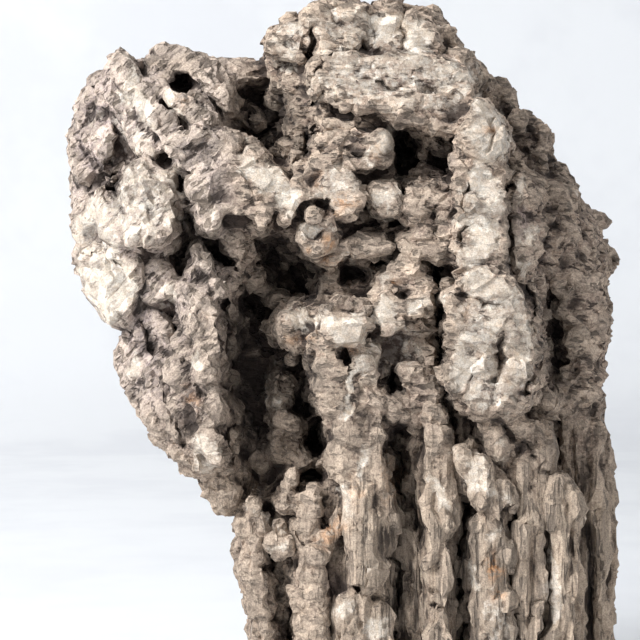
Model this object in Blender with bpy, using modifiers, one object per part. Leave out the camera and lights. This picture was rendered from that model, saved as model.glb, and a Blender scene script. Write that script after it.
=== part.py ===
"""A scholar's rock: one weathered, quartz-veined limestone, sawn flat underneath so that it stands.

Run with: blender --background --python part.py

The rock is modelled the way a sculptor blocks one out. Big masses give its bulk, and smaller chunks
and ribs build up its front. A voxel remesh fuses them all into one skin. Hollows and slots are then
pressed into that skin, shallow facets and flutes break it up, and a cut at the base makes its foot.
"""

import itertools
import math
import random

import bmesh
import bpy
import numpy as np
from mathutils import Matrix, Vector, noise

MM = 0.001

# Driving dimensions.
FRONT_Y = -50 * MM  # the plane on which the front elevation is drawn
EYE = Vector((-14, -650, 192)) * MM  # the point that the elevation is drawn from
VOXEL = 2.0 * MM  # the remesh grid, which sets the smallest crevice
FACET = 13 * MM  # how wide a broken facet of the crust is
JAGGED = 4 * MM  # how far a hollow's outline strays from its ellipse
STRAY_SIZE = 9 * MM  # and over what length
FACET_RISE = 0.26  # how steeply a facet leans out of the surface
FLUTE = 5.5 * MM  # how far apart the weathered flutes stand on the lower half
FLUTE_DEPTH = 1.6 * MM
FLESH_VOXEL = 4 * MM  # the grid of the flesh that fills the gaps between chunks
FLESH_ROUNDS = 12  # how often the flesh's hollows are raised
FLESH_IN = 2 * MM  # how far the flesh then lies behind the chunks
CHAMFER = 1.6 * MM  # round a slab's face
SLAB_DEPTH = 16 * MM
SEAM_ROUNDS = 2  # how often the finished skin's seams are raised
KNOBS = 110  # chunks scattered over the back and the sides
KNOB_WIDTH = (8 * MM, 20 * MM)
KNOB_TALL = (1.1, 2.2)  # how much taller than wide a knob is
KNOB_TOP = 240 * MM  # knobs stay below this
KNOB_FRONT = 15 * MM  # and behind this
KNOB_EDGE = -18 * MM  # and right of this, or of the left edge's slope
EDGE_SLOPE = (64 * MM, 0.5)  # the left edge leans out above this height, by so much
FLUTED = (165 * MM, 50 * MM)  # the flutes start below this height, over so much
SEAM_Y = 5 * MM  # the front is what lies before this
FRONT_TRIANGLES = 6800
BACK_TRIANGLES = 2500
SEED = 11

# The two kinds of chunk. Both are broken along six planes that are nearly square to each other, and along
# some random ones. A block stands straight, and a chunk is turned at random.
CHUNK, BLOCK = "chunk", "block"
SQUARE_PLANES = (0.74, 0.95)  # how near the centre a square plane may lie, in radii
RANDOM_PLANES = (0.86, 1.1)
RANDOM_COUNT = 9
SKEW = 0.2  # how far a square plane leans
SHARPNESS = 26  # how much the planes outrank each other: the higher, the sharper the edges
CORNER = 1.19  # how far a corner may stand out, in radii

# The bulk: centre x, y, z; radii x, y, z; tilt in degrees, anticlockwise seen from the front; kind.
# All in millimetres.
MASSES = [
    ("left head", -71, 2, 246, 37, 45, 48, 6, BLOCK),
    ("left side", -92, 4, 234, 17, 35, 44, 0, CHUNK),
    ("left cheek", -64, 0, 186, 26, 43, 46, 24, BLOCK),
    ("left jaw", -48, 2, 150, 22, 40, 32, 30, CHUNK),
    ("left web", -29, 30, 120, 20, 34, 54, 4, CHUNK),
    ("valley back", -28, 6, 166, 30, 40, 50, 0, BLOCK),
    ("hollow back", -38, 20, 252, 34, 46, 46, 0, BLOCK),
    ("peak", 6, 2, 272, 38, 46, 42, 0, CHUNK),
    ("core", 12, 8, 218, 54, 52, 64, 0, BLOCK),
    ("waist", 16, 8, 160, 56, 54, 56, 0, BLOCK),
    ("right shoulder", 54, 14, 222, 38, 52, 52, 14, CHUNK),
    ("right flank", 68, 14, 140, 42, 52, 110, -3, BLOCK),
    ("trunk", 28, 8, 92, 68, 54, 78, 0, BLOCK),
    ("foot", 25, 12, 16, 68, 60, 60, 0, BLOCK),
    ("back shoulder", -18, 36, 222, 68, 40, 60, 8, CHUNK),
    ("back trunk", 30, 36, 116, 60, 42, 96, -4, CHUNK),
]

# The front, drawn in elevation: x, z of the centre; how far its face stands in front of the axis;
# radii across and up, and in depth; tilt in degrees; kind. All in millimetres.
LUMPS = [
    # The left head: grey mass, crusty ridge, knob over a cave, and slabs that dip to the right.
    ("grey mass", -98, 272, 34, 12, 20, 26, 0, CHUNK),
    ("crusty ridge", -88, 279, 46, 9, 18, 22, 12, BLOCK),
    ("top knob", -69, 292, 38, 14, 8, 20, -8, BLOCK),
    ("dipping slab", -68, 279, 50, 16, 6, 16, -40, BLOCK),
    ("slab end", -56, 282, 44, 6, 8, 14, -30, CHUNK),
    ("parallel slab", -50, 278, 38, 14, 5, 16, -40, BLOCK),
    ("rough block", -56, 251, 64, 21, 15, 22, -16, BLOCK),
    ("rough block edge", -41, 249, 62, 8, 16, 18, 12, CHUNK),
    ("block tip", -58, 237, 61, 6, 12, 14, 6, CHUNK),
    ("block nib", -38, 234, 58, 5, 8, 10, 6, CHUNK),
    ("pale boulder", -83, 238, 57, 15, 17, 22, 45, BLOCK),
    ("pitted crust", -88, 224, 52, 12, 7, 16, 4, CHUNK),
    ("white side", -100, 238, 38, 12, 20, 28, 0, CHUNK),
    ("white heel", -96, 209, 42, 12, 16, 26, 24, BLOCK),
    ("quartz lump", -77, 206, 52, 10, 9, 18, 0, CHUNK),
    ("low quartz", -92, 196, 48, 8, 8, 16, 0, CHUNK),
    ("pitted band", -82, 178, 46, 9, 19, 20, 16, BLOCK),
    ("white edge", -88, 173, 36, 5, 10, 16, 14, CHUNK),
    ("crusty rib", -62, 196, 58, 7, 25, 18, 3, BLOCK),
    ("rib knob", -66, 178, 60, 6, 8, 12, 0, CHUNK),
    ("pink slab", -66, 162, 57, 9, 13, 16, 10, BLOCK),
    ("nodules", -58, 140, 52, 9, 11, 14, 20, CHUNK),
    ("cheek edge", -73, 153, 40, 8, 14, 18, 30, CHUNK),
    ("jaw", -64, 140, 44, 8, 8, 16, 34, CHUNK),
    ("chin", -52, 125, 45, 7, 9, 16, 30, CHUNK),
    # The dark valley and what stands in it.
    ("valley rib", -43, 156, 34, 6, 30, 14, 0, CHUNK),
    ("valley knob", -45, 172, 38, 4, 6, 12, 0, CHUNK),
    ("blade", -32, 165, 42, 3, 18, 16, -3, CHUNK),
    ("bridge nodule", -27, 189, 48, 8, 7, 14, 12, CHUNK),
    ("hanging lump", -41, 213, 47, 9, 11, 16, 20, CHUNK),
    ("upper hanging lump", -47, 227, 50, 6, 5, 14, 20, CHUNK),
    ("cave spur", -20, 199, 46, 4, 6, 12, -20, CHUNK),
    ("white tooth", -29, 243, 58, 7, 8, 12, 20, BLOCK),
    ("shell hollow rim", -35, 142, 38, 12, 4, 14, 0, CHUNK),
    # The peak.
    ("left knob", -26, 300, 36, 10, 11, 18, 0, CHUNK),
    ("summit", -6, 308, 38, 13, 12, 22, 0, CHUNK),
    ("pale lobe", 13, 309, 34, 8, 11, 18, 0, CHUNK),
    ("white dome", 25, 305, 33, 8, 11, 18, 0, CHUNK),
    ("grey dome", 34, 302, 22, 6, 12, 18, 8, CHUNK),
    ("corner", 41, 290, 40, 9, 9, 18, 30, CHUNK),
    ("main plate", 20, 281, 54, 28, 15, 26, -8, BLOCK),
    ("plate left", -9, 284, 50, 10, 15, 20, 8, CHUNK),
    ("stepped ledge", -3, 264, 57, 14, 9, 18, -6, BLOCK),
    ("white flake", 9, 262, 58, 4, 7, 10, -20, CHUNK),
    ("rear crest", -42, 287, 22, 19, 9, 24, 0, BLOCK),
    ("shell rim", -27, 281, 40, 8, 9, 16, -42, BLOCK),
    # The knotted middle.
    ("ring nodule", -11, 242, 64, 13, 12, 18, 0, CHUNK),
    ("nodule cap", -17, 252, 60, 9, 5, 14, -12, BLOCK),
    ("small nodule", 12, 240, 57, 6, 7, 12, 0, CHUNK),
    ("yellow nodule", -16, 225, 61, 7, 6, 12, 20, CHUNK),
    ("pocket rim", 2, 221, 56, 15, 4, 14, 10, BLOCK),
    ("right shelf", 27, 221, 56, 13, 4, 14, -15, BLOCK),
    ("upper shelf", 32, 243, 54, 11, 5, 14, 0, BLOCK),
    ("fan", 12, 205, 58, 6, 6, 12, 20, CHUNK),
    ("quartz bulge", -4, 192, 63, 9, 8, 16, -20, CHUNK),
    ("bulge flank", -13, 190, 58, 7, 9, 16, 0, CHUNK),
    ("crystal knot", 14, 195, 60, 6, 8, 14, 0, CHUNK),
    ("knot", 8, 180, 56, 5, 5, 12, 0, CHUNK),
    ("white bridge", 29, 201, 58, 9, 4, 12, 12, CHUNK),
    ("bridge foot", 23, 193, 55, 5, 8, 12, 0, CHUNK),
    ("right middle", 24, 177, 52, 8, 14, 16, 0, BLOCK),
    # The central column.
    ("column left", -11, 168, 56, 8, 16, 16, 12, CHUNK),
    ("column vein", 1, 168, 60, 5, 16, 14, 0, CHUNK),
    ("column waist", -2, 144, 58, 8, 18, 16, 0, BLOCK),
    ("column right", 7, 148, 56, 5, 15, 14, -4, CHUNK),
    ("column shelf", 23, 159, 54, 10, 8, 14, 0, BLOCK),
    ("column knee", 2, 125, 60, 8, 14, 16, 0, CHUNK),
    ("column shin", 8, 104, 60, 7, 23, 16, 3, BLOCK),
    ("thin ridge", -1, 98, 57, 4, 30, 14, 0, CHUNK),
    ("strut", -9, 112, 53, 3, 15, 10, -26, CHUNK),
    ("left ridge", -18, 108, 52, 4, 14, 12, 6, CHUNK),
    ("left ridge foot", -19, 84, 53, 6, 17, 14, 8, CHUNK),
    ("grey nodule", -9, 84, 47, 4, 7, 10, 0, CHUNK),
    ("low nodule", -14, 66, 50, 5, 4, 10, 0, CHUNK),
    ("wide base", 3, 64, 56, 12, 13, 16, 0, BLOCK),
    ("elbow", -29, 120, 47, 7, 6, 12, 10, CHUNK),
    ("slanting rib", -37, 111, 44, 3, 12, 12, 50, CHUNK),
    ("edge column", -40, 92, 40, 6, 20, 18, 12, BLOCK),
    ("edge column foot", -33, 60, 42, 6, 22, 18, 4, CHUNK),
    ("lobe", -34, 87, 43, 4, 6, 10, 10, CHUNK),
    ("inner rib", -26, 88, 42, 4, 16, 12, -6, CHUNK),
    # The right of the trunk: ribs with deep furrows between them.
    ("brown rib", 24, 88, 50, 4, 38, 14, -2, BLOCK),
    ("rope rib", 32, 108, 56, 5, 54, 16, 0, BLOCK),
    ("twisted rib top", 50, 128, 58, 7, 19, 16, 40, CHUNK),
    ("twisted rib waist", 53, 103, 55, 5, 16, 14, 0, CHUNK),
    ("twisted rib knob", 58, 105, 56, 4, 6, 12, 0, CHUNK),
    ("twisted rib foot", 55, 74, 58, 8, 24, 16, 0, BLOCK),
    ("white flare", 47, 89, 54, 4, 7, 12, 0, CHUNK),
    ("grey rib", 70, 93, 54, 5, 42, 14, 0, BLOCK),
    ("pale rib", 81, 86, 51, 6, 36, 16, -2, BLOCK),
    ("cracked block", 64, 138, 53, 14, 14, 18, 0, BLOCK),
    ("dark nodules", 47, 147, 42, 5, 9, 12, 0, CHUNK),
    ("fibre block", 22, 152, 51, 9, 9, 14, 0, BLOCK),
    # The tongue that hangs on the right, and the column above it.
    ("tongue", 54, 182, 68, 18, 29, 22, 0, BLOCK),
    ("tongue cheek", 42, 171, 70, 6, 9, 14, 14, CHUNK),
    ("tongue lip", 57, 160, 70, 12, 8, 16, 12, CHUNK),
    ("tongue rib", 71, 182, 61, 3, 24, 16, 0, CHUNK),
    ("pale block", 50, 206, 67, 10, 7, 16, 0, BLOCK),
    ("neck", 51, 230, 60, 12, 25, 20, 3, BLOCK),
    ("white cap", 53, 266, 60, 9, 11, 18, 14, CHUNK),
    ("lower cap", 52, 252, 60, 7, 6, 16, 0, CHUNK),
    ("second rib", 68, 229, 51, 6, 23, 16, -6, BLOCK),
    ("spur", 76, 172, 41, 5, 4, 12, 0, CHUNK),
    ("low spur", 77, 162, 41, 5, 4, 12, -10, CHUNK),
    # The receding right side, a row of leaning ribs.
    ("lean rib 1", 50, 280, 24, 5, 11, 22, 8, CHUNK),
    ("lean rib 2", 61, 271, 18, 6, 15, 26, 18, CHUNK),
    ("lean rib 3", 70, 259, 12, 7, 16, 26, 22, CHUNK),
    ("lean rib 4", 79, 243, 8, 7, 16, 26, 22, CHUNK),
    ("side wall", 80, 222, 32, 7, 24, 24, 6, BLOCK),
    ("side rib", 88, 212, 14, 8, 30, 30, 12, CHUNK),
    ("recess wall", 84, 178, 30, 8, 28, 24, 0, BLOCK),
    ("low side rib", 92, 112, 34, 8, 74, 24, 2, BLOCK),
]

# Slabs, whose flat faces end in a clear outline: how far the face stands in front of the axis; how much it
# falls back per millimetre to the right and upwards; the outline's corners, x and z. All in millimetres.
SLABS = [
    ("rough block", 67, 0.05, 0.15, [(-76, 262), (-66, 268), (-58, 269), (-50, 266), (-41, 262),
        (-36, 255), (-33, 237), (-37.5, 227.5), (-42, 234), (-54, 236), (-58, 227), (-64, 240),
        (-67, 250)]),
    ("boulder face", 59, -0.15, 0.3, [(-83, 256), (-74, 249), (-67, 238), (-70, 228), (-78, 222),
        (-84, 224), (-84, 240)]),
    ("boulder side", 57, -0.5, 0.2, [(-84, 256), (-83, 224), (-92, 222), (-101, 226), (-101, 239),
        (-93, 250)]),
    ("heel face", 45, -0.4, -0.1, [(-111, 219), (-100, 222), (-89, 220), (-86, 208), (-90, 196),
        (-98, 192), (-104, 202), (-109, 211)]),
    ("ridge band", 51, -0.3, 0.1, [(-98, 296), (-93, 298), (-80, 282), (-69, 266), (-74, 262), (-84, 273),
        (-93, 286)]),
    ("upper ridge", 51, -0.1, 0.3, [(-84, 290), (-79, 293), (-66, 281), (-56, 272), (-61, 269),
        (-72, 276)]),
    ("parallel ridge", 46, 0.1, 0.3, [(-63, 290), (-56, 291), (-46, 280), (-37, 271), (-42, 268),
        (-52, 277)]),
    ("cap", 42, 0.1, 0.4, [(-84, 296), (-79, 301), (-70, 301), (-60, 297), (-54, 290), (-62, 288),
        (-72, 291), (-80, 289)]),
    ("grey side", 36, -0.8, 0.1, [(-111, 277), (-106, 284), (-99, 288), (-97, 262), (-100, 250),
        (-111, 248), (-114, 262)]),
    ("long rib", 61, -0.15, 0.05, [(-66, 220), (-61, 223), (-57, 214), (-52, 203), (-57, 194), (-53, 181),
        (-58, 167), (-53, 157), (-57, 149), (-51, 137), (-57, 134), (-62, 146), (-66, 156), (-73, 160),
        (-74, 172), (-68, 183), (-66, 196), (-68, 208)]),
    ("flank", 48, -0.5, 0.1, [(-89, 192), (-80, 196), (-74, 190), (-73, 175), (-76, 160), (-71, 148),
        (-64, 140), (-62, 132), (-70, 136), (-79, 146), (-85, 158), (-91, 170), (-94, 182)]),
    ("dome", 37, 0, 0.3, [(19, 313), (24, 315), (30, 313), (33, 306), (33, 298), (30, 292), (22, 293),
        (19, 300)]),
    ("lobe face", 37, 0, 0.3, [(7, 315), (12, 318), (17, 315), (19, 308), (17, 302), (10, 301), (6, 307)]),
    ("summit face", 41, 0.1, 0.3, [(-20, 314), (-13, 318), (0, 318), (5, 314), (4, 305), (-2, 299),
        (-12, 298), (-20, 303)]),
    ("left knob face", 39, -0.1, 0.3, [(-35, 301), (-32, 308), (-24, 311), (-18, 308), (-17, 300),
        (-22, 295), (-31, 296)]),
    ("plate", 56, 0.08, 0.3, [(-18, 294), (-8, 297), (4, 297), (20, 297), (38, 295), (46, 288), (48, 278),
        (44, 266), (34, 268), (20, 272), (6, 276), (-6, 277), (-16, 281)]),
    ("step", 61, 0, 0.2, [(-19, 270), (-10, 272), (4, 270), (13, 266), (14, 256), (6, 252), (-6, 253),
        (-16, 257)]),
    ("upper shelf", 57, 0, 0.2, [(20, 247), (32, 248), (44, 245), (44, 239), (32, 239), (22, 241)]),
    ("flake", 63, 0.2, 0, [(6, 268), (11, 268), (14, 262), (11, 255), (7, 256), (5, 261)]),
    ("neck face", 62, 0.1, 0.05, [(43, 274), (48, 279), (54, 277), (60, 270), (61, 258), (60, 240),
        (61, 222), (61, 211), (52, 208), (42, 210), (40, 222), (41, 240), (40, 256), (43, 266)]),
    ("cap quartz", 65, 0.2, 0.2, [(45, 274), (50, 278), (56, 275), (60, 267), (59, 259), (52, 256),
        (46, 259), (43, 266)]),
    ("blade face", 54, 0.5, 0, [(62, 247), (67, 252), (72, 246), (73, 232), (72, 216), (68, 208),
        (63, 210), (62, 226)]),
    ("tongue face", 70, 0.15, -0.02, [(38, 200), (43, 208), (50, 211), (58, 210), (64, 206), (68, 198),
        (72, 186), (73, 170), (70, 159), (65, 155), (59, 152), (54, 153.5), (48, 157), (42, 162),
        (38, 166), (35.5, 172), (36, 180)]),
    ("tongue block", 72, 0.1, 0.2, [(43, 209), (50, 212), (58, 210), (61, 203), (56, 199), (46, 199),
        (41, 203)]),
    ("ring", 66, 0, 0.1, [(-24, 247), (-18, 254), (-8, 254), (0, 249), (2, 240), (-3, 233), (-12, 229),
        (-18, 233), (-16, 240), (-22, 241)]),
    ("tooth", 61, 0.3, 0.2, [(-36, 251), (-31, 250), (-24, 244), (-23, 238), (-28, 233), (-32, 238),
        (-36, 244)]),
    ("yellow face", 63, 0, 0.2, [(-22, 229), (-15, 230), (-9, 226), (-9, 221), (-16, 219), (-22, 222)]),
    ("pocket lip", 58, 0, 0.3, [(-9, 220), (-2, 224), (8, 225), (15, 222), (13, 217), (4, 219), (-4, 218),
        (-10, 214)]),
    ("right lip", 58, 0, 0.3, [(17, 227), (28, 227), (40, 221), (41, 215), (32, 217), (20, 220)]),
    ("middle knot", 57, 0, 0.1, [(13, 211), (20, 217), (28, 214), (30, 206), (24, 203), (16, 203)]),
    ("middle shelf", 54, 0, 0.3, [(18, 236), (30, 239), (43, 236), (43, 228), (32, 229), (20, 231)]),
    ("bridge", 61, 0, 0.2, [(20, 200), (28, 203), (38, 207), (40, 202), (33, 198), (24, 194), (19, 194)]),
    ("bulge", 66, 0, 0.1, [(-14, 197), (-6, 200), (4, 198), (7, 190), (2, 184), (-6, 184), (-13, 186)]),
    ("crystal", 62, 0, 0.1, [(8, 202), (14, 204), (19, 199), (19, 190), (13, 187), (8, 191)]),
    ("blade", 61, 0.1, 0, [(-18, 186), (-8, 186), (4, 182), (9, 172), (10, 160), (10, 135), (12, 125),
        (15, 112), (13, 98), (8, 84), (0, 86), (-2, 100), (-4, 125), (-10, 133), (-8, 145), (-9, 153),
        (-14, 157), (-17, 168), (-19, 178)]),
    ("middle block", 56, 0.1, 0, [(12, 172), (22, 174), (32, 168), (33, 158), (28, 151), (16, 150),
        (12, 158)]),
    ("first rib", 58, 0.1, 0, [(29, 160), (35, 162), (38, 150), (37, 130), (38, 110), (36, 90), (37, -30),
        (29, -30), (30, 90), (28, 120), (29, 140)]),
    ("slanting rib", 61, 0.1, 0, [(41, 140), (46, 143), (54, 133), (62, 124), (64, 116), (58, 111),
        (50, 120), (43, 130)]),
    ("second rib", 58, 0.1, 0, [(48, 112), (56, 114), (62, 112), (61, 95), (62, 75), (61, -30), (48, -30),
        (49, 80), (48, 98)]),
    ("third rib", 56, 0.2, 0, [(66, 135), (72, 136), (74, 120), (73, 100), (74, 80), (73, -30), (66, -30),
        (67, 85), (66, 110)]),
    ("fourth rib", 53, 0.5, 0, [(77, 126), (82, 129), (88, 120), (89, 80), (88, -30), (77, -30),
        (78, 90)]),
    ("cracked face", 54, 0.1, 0, [(50, 151), (62, 152), (74, 150), (77, 140), (76, 130), (68, 127),
        (62, 134), (54, 140)]),
    ("crest", 48, -0.2, 0.2, [(-45, 117), (-36, 118), (-29, 109), (-35, 107), (-43, 112)]),
    ("left rib", 56, -0.2, 0, [(-22, 124), (-17, 126), (-13, 112), (-14, 95), (-12, 80), (-13, -30),
        (-24, -30), (-23, 80), (-21, 100)]),
    ("edge rib", 45, -0.5, 0, [(-44, 108), (-39, 110), (-36, 96), (-33, 80), (-32, -30), (-39, -30),
        (-41, 76), (-45, 92)]),
    ("base rib", 57, 0, 0, [(-6, 82), (2, 82), (12, 78), (13, 60), (12, -30), (-7, -30), (-8, 62)]),
]

# Hollows pressed in from the front: x, z; radii across and up; tilt; depth.
HOLLOWS = [
    ("cave under the knob", -69, 287, 6, 3.5, -30, 28),
    ("shell", -36, 274, 14, 14, -30, 22),
    ("shell crevice", -20, 262, 3.5, 9, -32, 38),
    ("shell's left crevice", -40, 266, 3, 9, -40, 18),
    ("plate crevice", -15, 280, 1.8, 5, -25, 18),
    ("big cave", 19, 259, 7, 12, 10, 50),
    ("brown recess", 33, 255, 7, 6, 0, 18),
    ("head crevice", -95, 248, 2.0, 8, -30, 15),
    ("boulder shadow", -69, 224, 5, 16, 0, 25),
    ("block crevice", -70, 247, 3.5, 8, 20, 20),
    ("valley mouth", -56, 219, 5, 12, 50, 32),
    ("dark throat", -30, 214, 12, 16, 30, 30),
    ("valley", -40, 174, 12, 46, 0, 25),
    ("upper hole", -22, 209, 9, 12, 28, 48),
    ("flat recess", -21, 167, 8, 16, 0, 32),
    ("lower hole", -16, 145, 7, 10, 0, 48),
    ("slit", -18, 130, 4, 6, -30, 30),
    ("shell hollow", -35, 128, 8, 9, 0, 12),
    ("ring hollow", -14, 237, 4, 5, 20, 12),
    ("nodule hollow", 4, 236, 3, 5, 0, 20),
    ("left pocket", -1, 211, 7, 5.5, 0, 22),
    ("right pocket", 12, 215, 4, 5, 0, 32),
    ("pinhole", 7, 206, 1.6, 3.4, -15, 18),
    ("square hole", 34, 211, 4, 6, -5, 38),
    ("long slot", 34, 184, 4, 17, 0, 44),
    ("slot foot", 37, 155, 3, 16, 6, 35),
    ("side pocket", 15, 167, 5, 6.5, 0, 30),
    ("vein pocket", -4, 178, 3, 6, 0, 12),
    ("brown furrow", 17, 136, 5, 16, 0, 30),
    ("deep furrow", 17, 98, 4, 34, -3, 35),
    ("elbow hole", -34, 113, 3, 7, 20, 18),
    ("edge hole", -35, 97, 3, 7, 10, 15),
    ("strut hole", -5, 104, 3, 4, -20, 18),
    ("strut upper hole", -13, 113, 3, 4, -20, 18),
    ("rib gap", -31, 86, 2, 9, 8, 20),
    ("rib foot gap", -27, 71, 3, 8, -20, 15),
    ("black furrow", 42, 92, 4.6, 38, 0, 38),
    ("black furrow top", 46, 112, 3, 12, 8, 32),
    ("twist furrow", 63, 88, 2.6, 34, 0, 22),
    ("thin furrow", 75, 92, 2, 36, 0, 20),
    ("lip shadow", 47, 147, 5, 9, 0, 15),
    ("side shadow", 79, 184, 5, 26, 0, 20),
    ("side slot", 80, 146, 2.5, 14, 0, 20),
    ("neck groove", 61.5, 228, 2.2, 22, 2, 22),
    ("tongue furrow", 57, 176, 4, 11, -14, 10),
    ("dome gap", 20, 312, 2, 8, 0, 18),
    ("summit gap", 4, 303, 2.5, 4, 20, 12),
    ("knob gap", -18, 300, 2, 8, 0, 20),
]


def drawn_scale(depth_y):
    """How much larger a thing is than it is drawn, when it lies behind the drawing plane."""
    return (depth_y - EYE.y) / (FRONT_Y - EYE.y)


def from_drawing(x, z, y):
    """The point at depth y that the elevation shows at x, z."""
    scale = drawn_scale(y)
    return Vector((EYE.x + (x - EYE.x) * scale, y, EYE.z + (z - EYE.z) * scale))


def unit_ball():
    """The icosphere that every chunk starts as."""
    bm = bmesh.new()
    bmesh.ops.create_icosphere(bm, subdivisions=4, radius=1)
    ball = bpy.data.meshes.new("ball")
    bm.to_mesh(ball)
    bm.free()
    return ball


def random_direction(dice):
    return Vector([dice.gauss(0, 1) for _ in range(3)]).normalized()


def breaking_planes(kind, dice):
    """The planes that a chunk is broken along, each as its normal over its distance."""
    planes = [random_direction(dice) / dice.uniform(*RANDOM_PLANES) for _ in range(RANDOM_COUNT)]
    turn = Matrix.Identity(3)
    if kind == CHUNK:
        turn = Matrix.Rotation(dice.uniform(0, math.pi), 3, random_direction(dice))
    for axis, side in itertools.product(range(3), (-1, 1)):
        normal = Vector((0, 0, 0))
        normal[axis] = side
        normal = (turn @ normal + SKEW * random_direction(dice)).normalized()
        planes.append(normal / dice.uniform(*SQUARE_PLANES))
    return planes


def add_chunk(bm, ball, name, centre, radii, tilt, kind):
    """Adds a ball whose surface is drawn in to a set of random planes, then sized, turned and placed."""
    directions = np.array([vert.co for vert in ball.vertices])
    planes = np.array(breaking_planes(kind, random.Random(name)))
    beyond = np.maximum(directions @ planes.T, 0) ** SHARPNESS
    reach = np.maximum(beyond.sum(axis=1) ** (1 / SHARPNESS), 1 / CORNER)
    turn = Matrix.Rotation(-math.radians(tilt), 3, "Y")
    shape = np.array(turn @ Matrix.Diagonal(radii))
    chunk = ball.copy()
    set_points(chunk, directions / reach[:, None] @ shape.T + np.array(centre))
    bm.from_mesh(chunk)
    bpy.data.meshes.remove(chunk)


def add_masses(bm, ball):
    for name, x, y, z, across, deep, up, tilt, kind in MASSES:
        centre, radii = Vector((x, y, z)) * MM, Vector((across, deep, up)) * MM
        add_chunk(bm, ball, name, centre, radii, tilt, kind)


def add_front(bm, ball):
    for name, x, z, face, across, up, deep, tilt, kind in LUMPS:
        y = (deep - face) * MM
        scale = drawn_scale(y)
        centre = from_drawing(x * MM, z * MM, y)
        radii = Vector((across * scale, deep, up * scale)) * MM
        add_chunk(bm, ball, name, centre, radii, tilt, kind)


def takes_knob(point):
    """Whether a knob may sit at a point: low and far back, and clear of the sloping left edge."""
    start, slope = EDGE_SLOPE
    edge = KNOB_EDGE - max(point.z - start, 0) * slope
    return point.z < KNOB_TOP and point.y > KNOB_FRONT and point.x > edge


def pushed_back(point, distance):
    """The point moved away from the eye along its line of sight."""
    return point + (point - EYE).normalized() * distance


def add_slab(bm, face, right, up, corners):
    """Adds a prism with a leaning, chamfered face, which runs back along the lines of sight."""
    count = len(corners)
    middle_x, middle_z = (sum(values) / count for values in zip(*corners))
    ring = []
    for x, z in corners:
        y = right * (x - middle_x) + up * (z - middle_z) - face
        ring.append(bm.verts.new(pushed_back(from_drawing(x * MM, z * MM, y * MM), CHAMFER)))
    front = bm.faces.new(ring)
    back = [bm.verts.new(pushed_back(vert.co, SLAB_DEPTH)) for vert in ring]
    bm.faces.new(reversed(back))
    for index in range(count):
        after = (index + 1) % count
        bm.faces.new((ring[after], ring[index], back[index], back[after]))
    bmesh.ops.inset_individual(bm, faces=[front], thickness=CHAMFER)
    for vert in front.verts:
        vert.co = pushed_back(vert.co, -CHAMFER)


def add_knobs(bm, ball, mesh):
    """Scatters upright chunks over the back and the sides of a skin."""
    dice = random.Random(SEED)
    places = [v for v in mesh.vertices if v.normal.y > 0.1 and v.normal.z < 0.6 and takes_knob(v.co)]
    for index, vert in enumerate(dice.sample(places, KNOBS)):
        width = dice.uniform(*KNOB_WIDTH)
        radii = Vector((width, width * 0.8, width * dice.uniform(*KNOB_TALL)))
        centre = vert.co - vert.normal * width * dice.uniform(0.35, 0.8)
        add_chunk(bm, ball, f"knob {index}", centre, radii, dice.uniform(-25, 25), CHUNK)


def bake(obj):
    """Replaces the object's mesh by what its modifiers make of it."""
    graph = bpy.context.evaluated_depsgraph_get()
    baked = bpy.data.meshes.new_from_object(obj.evaluated_get(graph))
    old = obj.data
    obj.modifiers.clear()
    obj.data = baked
    bpy.data.meshes.remove(old)


def fuse(obj, voxel):
    """Remeshes everything in the object into one skin on a voxel grid."""
    remesh = obj.modifiers.new("Fuse", "REMESH")
    remesh.mode = "VOXEL"
    remesh.voxel_size = voxel
    bake(obj)


def points_and_normals(mesh):
    points = np.empty(len(mesh.vertices) * 3)
    mesh.vertices.foreach_get("co", points)
    normals = np.empty(len(mesh.vertices) * 3)
    mesh.vertex_normals.foreach_get("vector", normals)
    return points.reshape(-1, 3), normals.reshape(-1, 3)


def set_points(mesh, points):
    mesh.vertices.foreach_set("co", points.ravel())
    mesh.update()


def neighbour_middles(mesh):
    """The middle of each point's neighbours."""
    points, _ = points_and_normals(mesh)
    ends = np.empty(len(mesh.edges) * 2, dtype=int)
    mesh.edges.foreach_get("vertices", ends)
    one, other = ends.reshape(-1, 2).T
    start, end = np.concatenate((one, other)), np.concatenate((other, one))
    total = [np.bincount(start, points[end, axis], len(points)) for axis in range(3)]
    count = np.maximum(np.bincount(start, minlength=len(points)), 1)
    return np.stack(total, axis=1) / count[:, None]


def fill_seams(mesh, rounds):
    """Raises the skin in its hollows only: edges stay sharp and seams fill up."""
    for _ in range(rounds):
        points, normals = points_and_normals(mesh)
        outward = ((neighbour_middles(mesh) - points) * normals).sum(axis=1)
        set_points(mesh, points + normals * np.maximum(outward, 0)[:, None])


def add_flesh(bm):
    """Adds a coarse skin of everything in the mesh, filled up and drawn in, so that the gaps are shallow."""
    flesh = bpy.data.objects.new("flesh", bpy.data.meshes.new("flesh"))
    bpy.context.scene.collection.objects.link(flesh)
    bm.to_mesh(flesh.data)
    fuse(flesh, FLESH_VOXEL)
    fill_seams(flesh.data, FLESH_ROUNDS)
    points, normals = points_and_normals(flesh.data)
    set_points(flesh.data, points - normals * FLESH_IN)
    bm.from_mesh(flesh.data)
    bpy.data.objects.remove(flesh)


def stray(place):
    """How far a place on the drawing is shifted, so that a hollow's outline is ragged."""
    coarse, fine = noise.noise_vector(place / STRAY_SIZE), noise.noise_vector(place / STRAY_SIZE * 2.7)
    return (coarse + fine * 0.45) * JAGGED


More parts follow.
